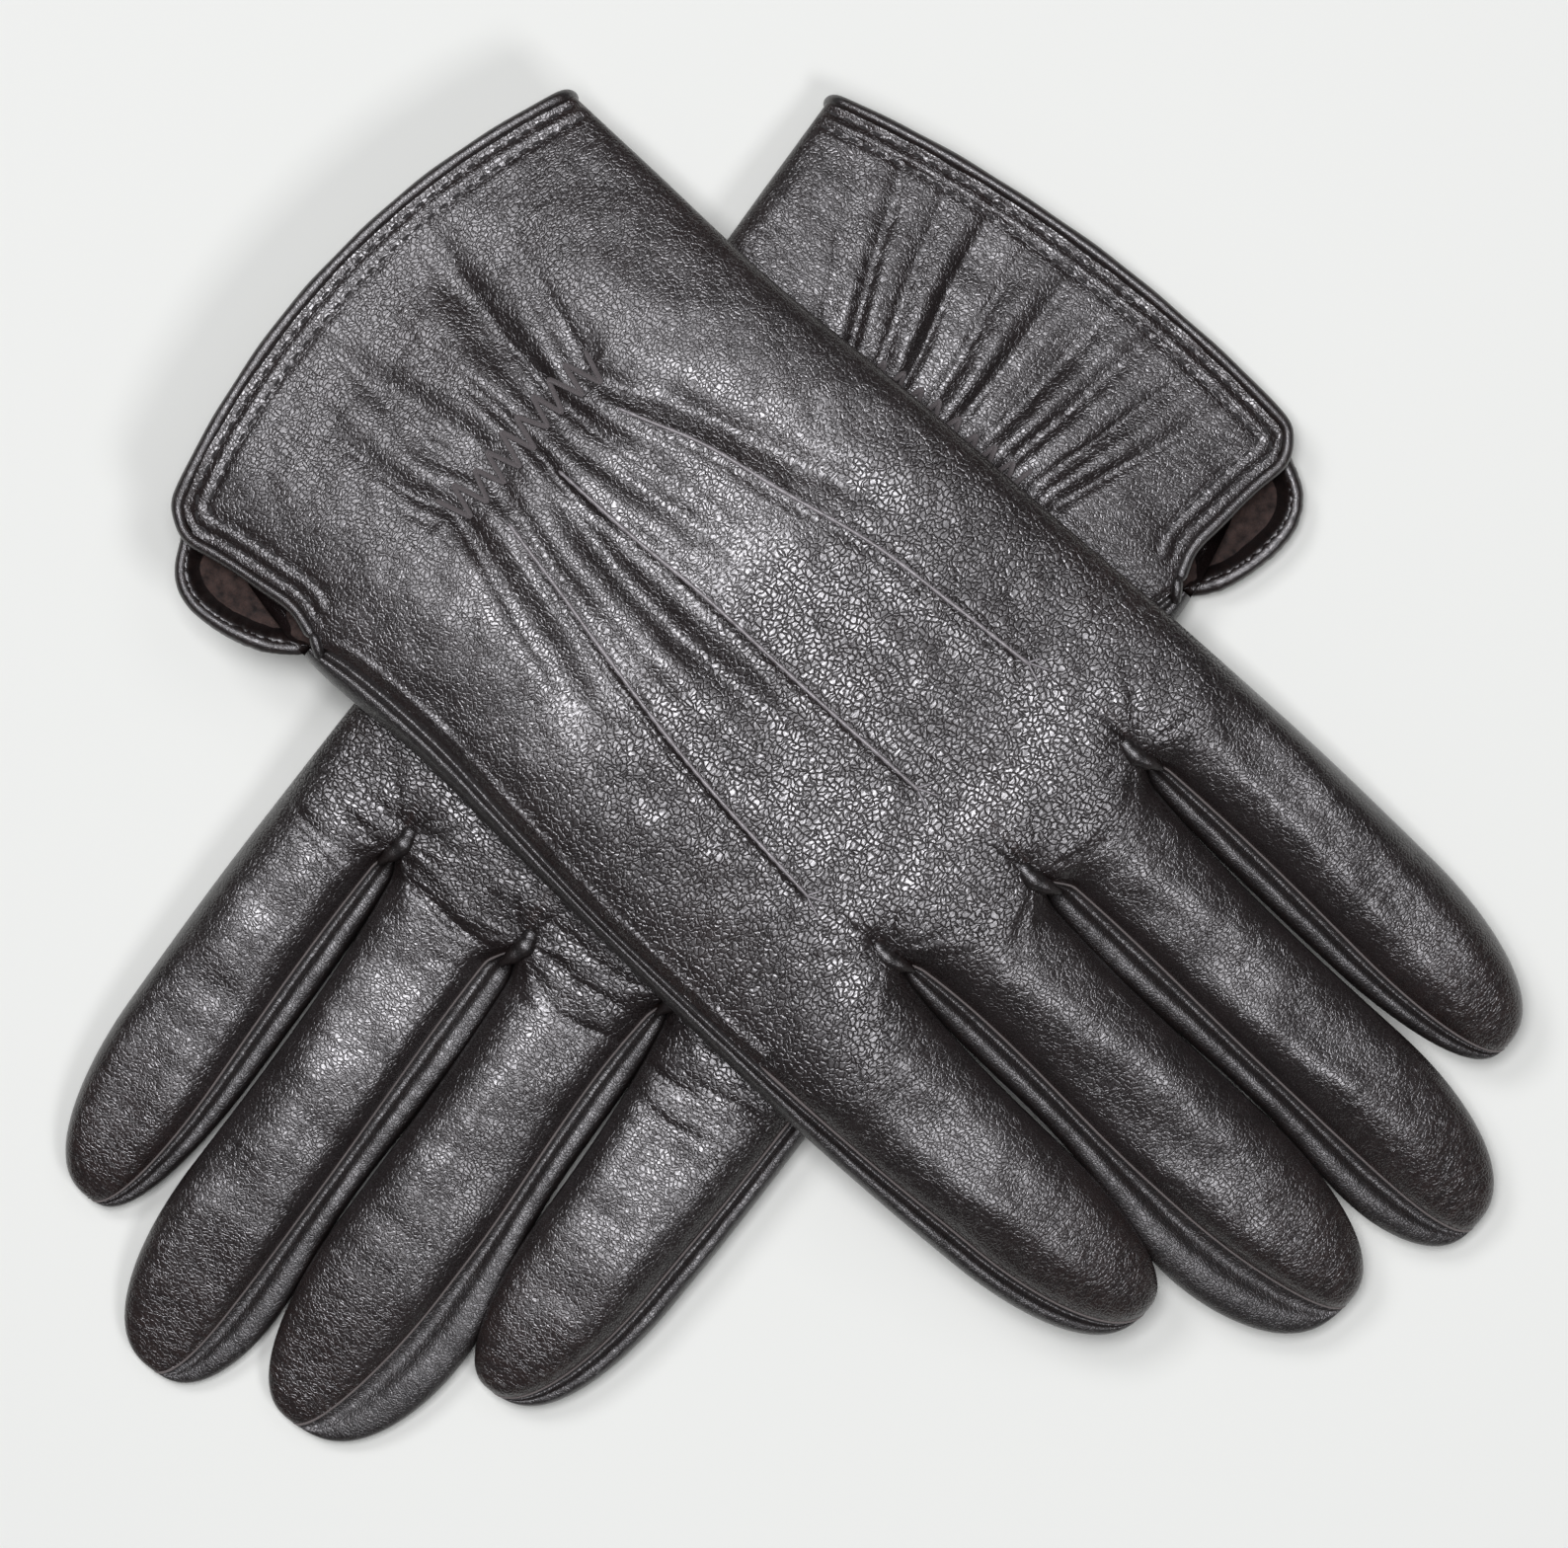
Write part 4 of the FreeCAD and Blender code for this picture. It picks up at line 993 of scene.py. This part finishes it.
def makeFingerLining(glove, finger):
    # a finger's fleece, an oval tube closed at the tip
    look = gloves[glove]
    y, g = rowsOf(finger, 3.0, 12)
    y = y * 0.985 + 1.5
    left = edgeLine(glove, finger, y, g, "back", False)[0] + 2.6 * g
    right = edgeLine(glove, finger, y, g, "back", True)[0] - 1.6 * g
    low, high = lowest(look, y), highest(look, y)
    centreZ, halfZ = (low + high) / 2 - 0.8, (high - low) / 2 - 3.4
    angle = np.linspace(0, 2 * math.pi, 28, endpoint=False)
    middle, half = (left + right) / 2, (right - left) / 2
    x = middle[:, None] + half[:, None] * np.cos(angle)
    z = centreZ[:, None] + (halfZ * g**0.8)[:, None] * np.sin(angle)
    y2 = y[:, None] + 0 * x
    points = place(look, x, y2, z).reshape(-1, 3)
    faces = gridFaces(len(y), len(angle), look["side"] > 0, wrap=True)
    uv = np.stack(np.broadcast_arrays((angle * 12)[None, :], y2), axis=-1).reshape(-1, 2)
    return meshFrom(glove + finger.capitalize() + "Lining", points, faces, "fleece lining", uv, merge=True)


knob = {"sway": 0.8, "before": 3.6, "length": 9.5, "lift": 5.0, "arch": 1.4, "fall": 1.2, "thin": 0.9,
        "plump": 1.0, "coil": 0.12}


def makeCrotchKnob(glove, number):
    # the rolled end of the gusset where two fingers part
    look = gloves[glove]
    cx, cy = crotches[number]
    base = (lowest(look, np.array([cy]))[0] + highest(look, np.array([cy]))[0]) / 2 + knob["lift"]
    turn = np.linspace(0, 1, 22)
    path = np.stack([cx + knob["sway"] * np.sin(turn * 4.5), cy - knob["before"] + knob["length"] * turn,
                     base + knob["arch"] * np.sin(turn * 2.9) - knob["fall"] * turn], axis=-1)
    swell = np.sin(np.clip(turn * 1.1 + 0.14, 0, 1) * math.pi) ** 0.7
    radius = knob["thin"] + knob["plump"] * swell + knob["coil"] * np.sin(turn * 19)
    return tubeFrom(f"{glove}CrotchRoll{number + 1}", look, path, radius, "edge leather", sides=14, wear=0.25)


thumbShape = {"x": -38.0, "y": 72.0, "tuck": 10.0, "length": 64.0, "back": 12.2, "width": 12.3, "low": 0.25,
              "high": 9.0, "wrinkle": 0.16, "seam": 0.02, "root": 9.5, "rootHeight": 9.9}


def makeThumb(glove):
    # a flattened tube with two round ends, a little slimmer towards the tip, and the fleece inside it
    look = gloves[glove]
    shape = thumbShape
    v = -np.cos(np.linspace(0, math.pi, 60))
    y = (shape["length"] - shape["back"]) / 2 + (shape["length"] + shape["back"]) / 2 * v
    half = shape["width"] * (1 - np.abs(v) ** 5.0) ** 0.5 * mix(1.0, 0.84, easeStep(y, 5, 60))
    middle = (shape["low"] + shape["high"]) / 2
    depth = (shape["high"] - shape["low"]) / 2 * (1 - np.abs(v) ** 7.0) ** 0.5
    around = np.linspace(0, 2 * math.pi, 64, endpoint=False)
    cosine, sine = np.cos(around), np.sin(around)
    x = half[:, None] * np.sign(cosine) * np.abs(cosine) ** 0.8
    z = middle + depth[:, None] * np.sign(sine) * np.abs(sine) ** 0.75
    y2 = y[:, None] + 0 * x
    wrinkle = shape["wrinkle"] * waves(x, y2, look["seed"] + 60, 8, 5, 18)
    z = z - wrinkle * np.sign(sine)[None, :] * (np.abs(sine) ** 2)[None, :] * (depth > 2)[:, None]
    seam = bell(around - math.pi, 0.10) + bell(np.minimum(around, 2 * math.pi - around), 0.10)
    x = x * (1 + shape["seam"] * seam[None, :])
    tuck = math.radians(shape["tuck"])
    faces = gridFaces(len(y), len(around), look["side"] > 0, wrap=True)
    uv = np.stack(np.broadcast_arrays((around * 9)[None, :], y2), axis=-1).reshape(-1, 2)
    wear = np.broadcast_to(0.3 * seam[None, :], x.shape).reshape(-1)
    made = []
    for part, finish, marks, wide, long, tall in (("Thumb", "glove leather", {"wear": wear}, 1.0, 1.0, 1.0),
                                                  ("ThumbLining", "fleece lining", None, 0.82, 0.95, 0.62)):
        px = shape["x"] + x * wide * math.cos(tuck) + y2 * long * math.sin(tuck)
        py = shape["y"] - x * wide * math.sin(tuck) + y2 * long * math.cos(tuck)
        points = place(look, px, py, middle + (z - middle) * tall).reshape(-1, 3)
        made.append(meshFrom(glove + part, points, faces, finish, uv, marks, merge=True))
    return made


def makeThumbRoot(glove):
    # the ring of folded leather where the thumb is set into the palm
    turn = np.linspace(0, 2 * math.pi, 60, endpoint=False)
    path = np.stack([thumbShape["x"] + thumbShape["root"] * np.cos(turn),
                     thumbShape["y"] + thumbShape["root"] * np.sin(turn), 0 * turn + thumbShape["rootHeight"]], axis=-1)
    return tubeFrom(glove + "ThumbRoot", gloves[glove], path, 1.0, "edge leather", closed=True, wear=0.15)


seamStitch = {"length": 1.9, "fingerLength": 1.7, "gap": 0.9, "thick": 0.18, "fingerThick": 0.15, "welt": 0.27}


def makeSideSeam(glove):
    # the stitches of the outside seam, from the vent to the little finger
    y = np.arange(37, splitRow, 1.2)
    path = np.stack([through(outline["sideSeam"], y) - 1.0, y, seamHeights(gloves[glove], y)["seam"] + 0.30], axis=-1)
    return stitchesFrom(glove + "SideSeamThread", gloves[glove], path, seamStitch["length"], seamStitch["gap"],
                        seamStitch["thick"], 0.0)


def bendWith(piece):
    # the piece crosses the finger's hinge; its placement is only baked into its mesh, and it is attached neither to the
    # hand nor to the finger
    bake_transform(piece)


for glove, look in gloves.items():
    hand = glove + "_hand"
    back = makeHandBack(glove)
    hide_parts(glove + "_hand_leather")
    palm = makeHandPalm(glove)
    bandRows = np.arange(gusset["bandFrom"], splitRow + 0.01, gusset["step"])
    bandRows[-1] = splitRow
    band = makeWall(glove + "SideBand", glove, "little", True, bandRows, np.ones_like(bandRows))
    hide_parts(glove + "_side_seam")
    lining = makeHandLining(glove)
    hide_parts(glove + "_hand_lining")
    flapLeather, flapFleece = makeVentFlap(glove)
    binding = makeCuffBinding(glove)
    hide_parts(glove + "_cuff_binding")
    stitches = makeCuffStitches(glove)
    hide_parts(glove + "_cuff_stitching")
    zigzagThread = makeZigzag(glove)
    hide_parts(glove + "_wrist_zigzag")
    tape = makeElastic(glove)
    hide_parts(glove + "_wrist_elastic")
    threads = makeTuckWelts(glove)
    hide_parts(glove + "_back_tucks")
    tack = makeVentTack(glove)
    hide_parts(glove + "_vent_tack")
    sideSeam = makeSideSeam(glove)
    for piece in (back, palm, band, lining, flapLeather, flapFleece, binding, stitches, zigzagThread, tape, threads,
                  tack, sideSeam):
        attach(piece, hand)
    for number in range(3):
        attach(makeCrotchKnob(glove, number), hand)
    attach(makeThumbRoot(glove), hand)
    for finger in fingers:
        top = makeFingerSheet(glove, finger, "back")
        under = makeFingerSheet(glove, finger, "palm")
        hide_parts(f"{glove}_{finger}_strip")
        walls = []
        for right, side in ((False, "InnerWall"), (True, "OuterWall")):
            if right or finger != "index":
                y, g = freeRows(finger, right, gusset["step"], gusset["tipRows"], 3)
                walls.append(makeWall(glove + finger.capitalize() + side, glove, finger, right, y, g))
        gussetNode = f"{glove}_{finger}_gusset" + ("s" if finger in ("middle", "ring") else "")
        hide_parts(gussetNode)
        sock = makeFingerLining(glove, finger)
        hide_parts(f"{glove}_{finger}_lining")
        seam = stitchesFrom(f"{glove}{finger.capitalize()}SeamThread", look, fingerSeam(glove, finger, 0.12, -0.9),
                            seamStitch["fingerLength"], seamStitch["gap"], seamStitch["fingerThick"], 0.0)
        # the welt's pale thread colour is a painted highlight along the seam
        welt = tubeFrom(f"{glove}{finger.capitalize()}Welt", look, fingerSeam(glove, finger, 0.05),
                        seamStitch["welt"], "seam thread painted highlight", sides=8)
        for piece in [top, under, sock, seam, welt] + walls:
            bendWith(piece)
    thumb, thumbSock = makeThumb(glove)
    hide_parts(glove + "_thumb_leather")
    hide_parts(glove + "_thumb_lining")
    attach(thumb, glove + "_thumb")
    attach(thumbSock, glove + "_thumb")
    print(glove, "glove made")
print(len(pieces), "pieces made")


# the camera looks straight down at a point of the right glove, turned by some degrees; a lamp is its offset
# right and up from there, its height, size and power
studio = {"height": 1.5, "level": 0.027, "span": 0.2705, "centre": (10.05, 107.9), "turn": 43.5,
          "floorTone": (0.855, 0.878, 0.825), "lampTone": (1.0, 0.982, 1.03), "skyTone": (0.94, 0.95, 1.0), "sky": 0.07,
          "lamps": {"key": (-0.10, 0.12, 1.65, 0.42, 14.3), "front": (0.56, -0.54, 1.6, 0.42, 7.1),
                    "rear": (-0.60, 0.62, 1.5, 0.5, 6.7), "fill": (0.45, 0.55, 1.5, 0.6, 1.2)}}

bpy.ops.mesh.primitive_plane_add(size=6.0, location=(0, 0, -0.0002))
floor = bpy.context.active_object
floor.name = "floor"
floorMaterial, _, floorShader = startMaterial("pale floor")
floorShader.inputs["Base Color"].default_value = (*studio["floorTone"], 1)
floorShader.inputs["Roughness"].default_value = 0.9
floor.data.materials.append(floorMaterial)

right = gloves["right"]
centre = place(right, *(np.array(value) for value in (*studio["centre"], 0.0)))
turn = math.radians(studio["turn"])
imageRight = -right["across"] * math.sin(turn) + right["along"] * math.cos(turn)
imageUp = -right["across"] * math.cos(turn) - right["along"] * math.sin(turn)
cameraData = bpy.data.cameras.new("camera")
cameraData.sensor_width = 36.0
cameraData.lens = cameraData.sensor_width * (studio["height"] - studio["level"]) / studio["span"]
camera = bpy.data.objects.new("camera", cameraData)
bpy.context.scene.collection.objects.link(camera)
axes = Matrix((imageRight, imageUp, (0, 0, 1))).transposed()
camera.matrix_world = Matrix.Translation((centre[0], centre[1], studio["height"])) @ axes.to_4x4()
bpy.context.scene.camera = camera


def areaLight(name, offsetRight, offsetUp, height, size, power):
    data = bpy.data.lights.new(name, "AREA")
    data.size = size
    data.energy = power
    data.color = studio["lampTone"]
    light = bpy.data.objects.new(name, data)
    bpy.context.scene.collection.objects.link(light)
    where = Vector(centre) + Vector(imageRight) * offsetRight + Vector(imageUp) * offsetUp
    where.z = height
    light.location = where
    aim = Vector((centre[0], centre[1], 0.02)) - where
    light.rotation_euler = aim.to_track_quat("-Z", "Y").to_euler()


for lamp, settings in studio["lamps"].items():
    areaLight(lamp, *settings)
world = bpy.data.worlds.new("studio")
world.use_nodes = True
world.node_tree.nodes["Background"].inputs[0].default_value = (*studio["skyTone"], 1)
world.node_tree.nodes["Background"].inputs[1].default_value = studio["sky"]
bpy.context.scene.world = world
bpy.context.scene.view_settings.view_transform = "Standard"
print("floor, lamps and camera ready")
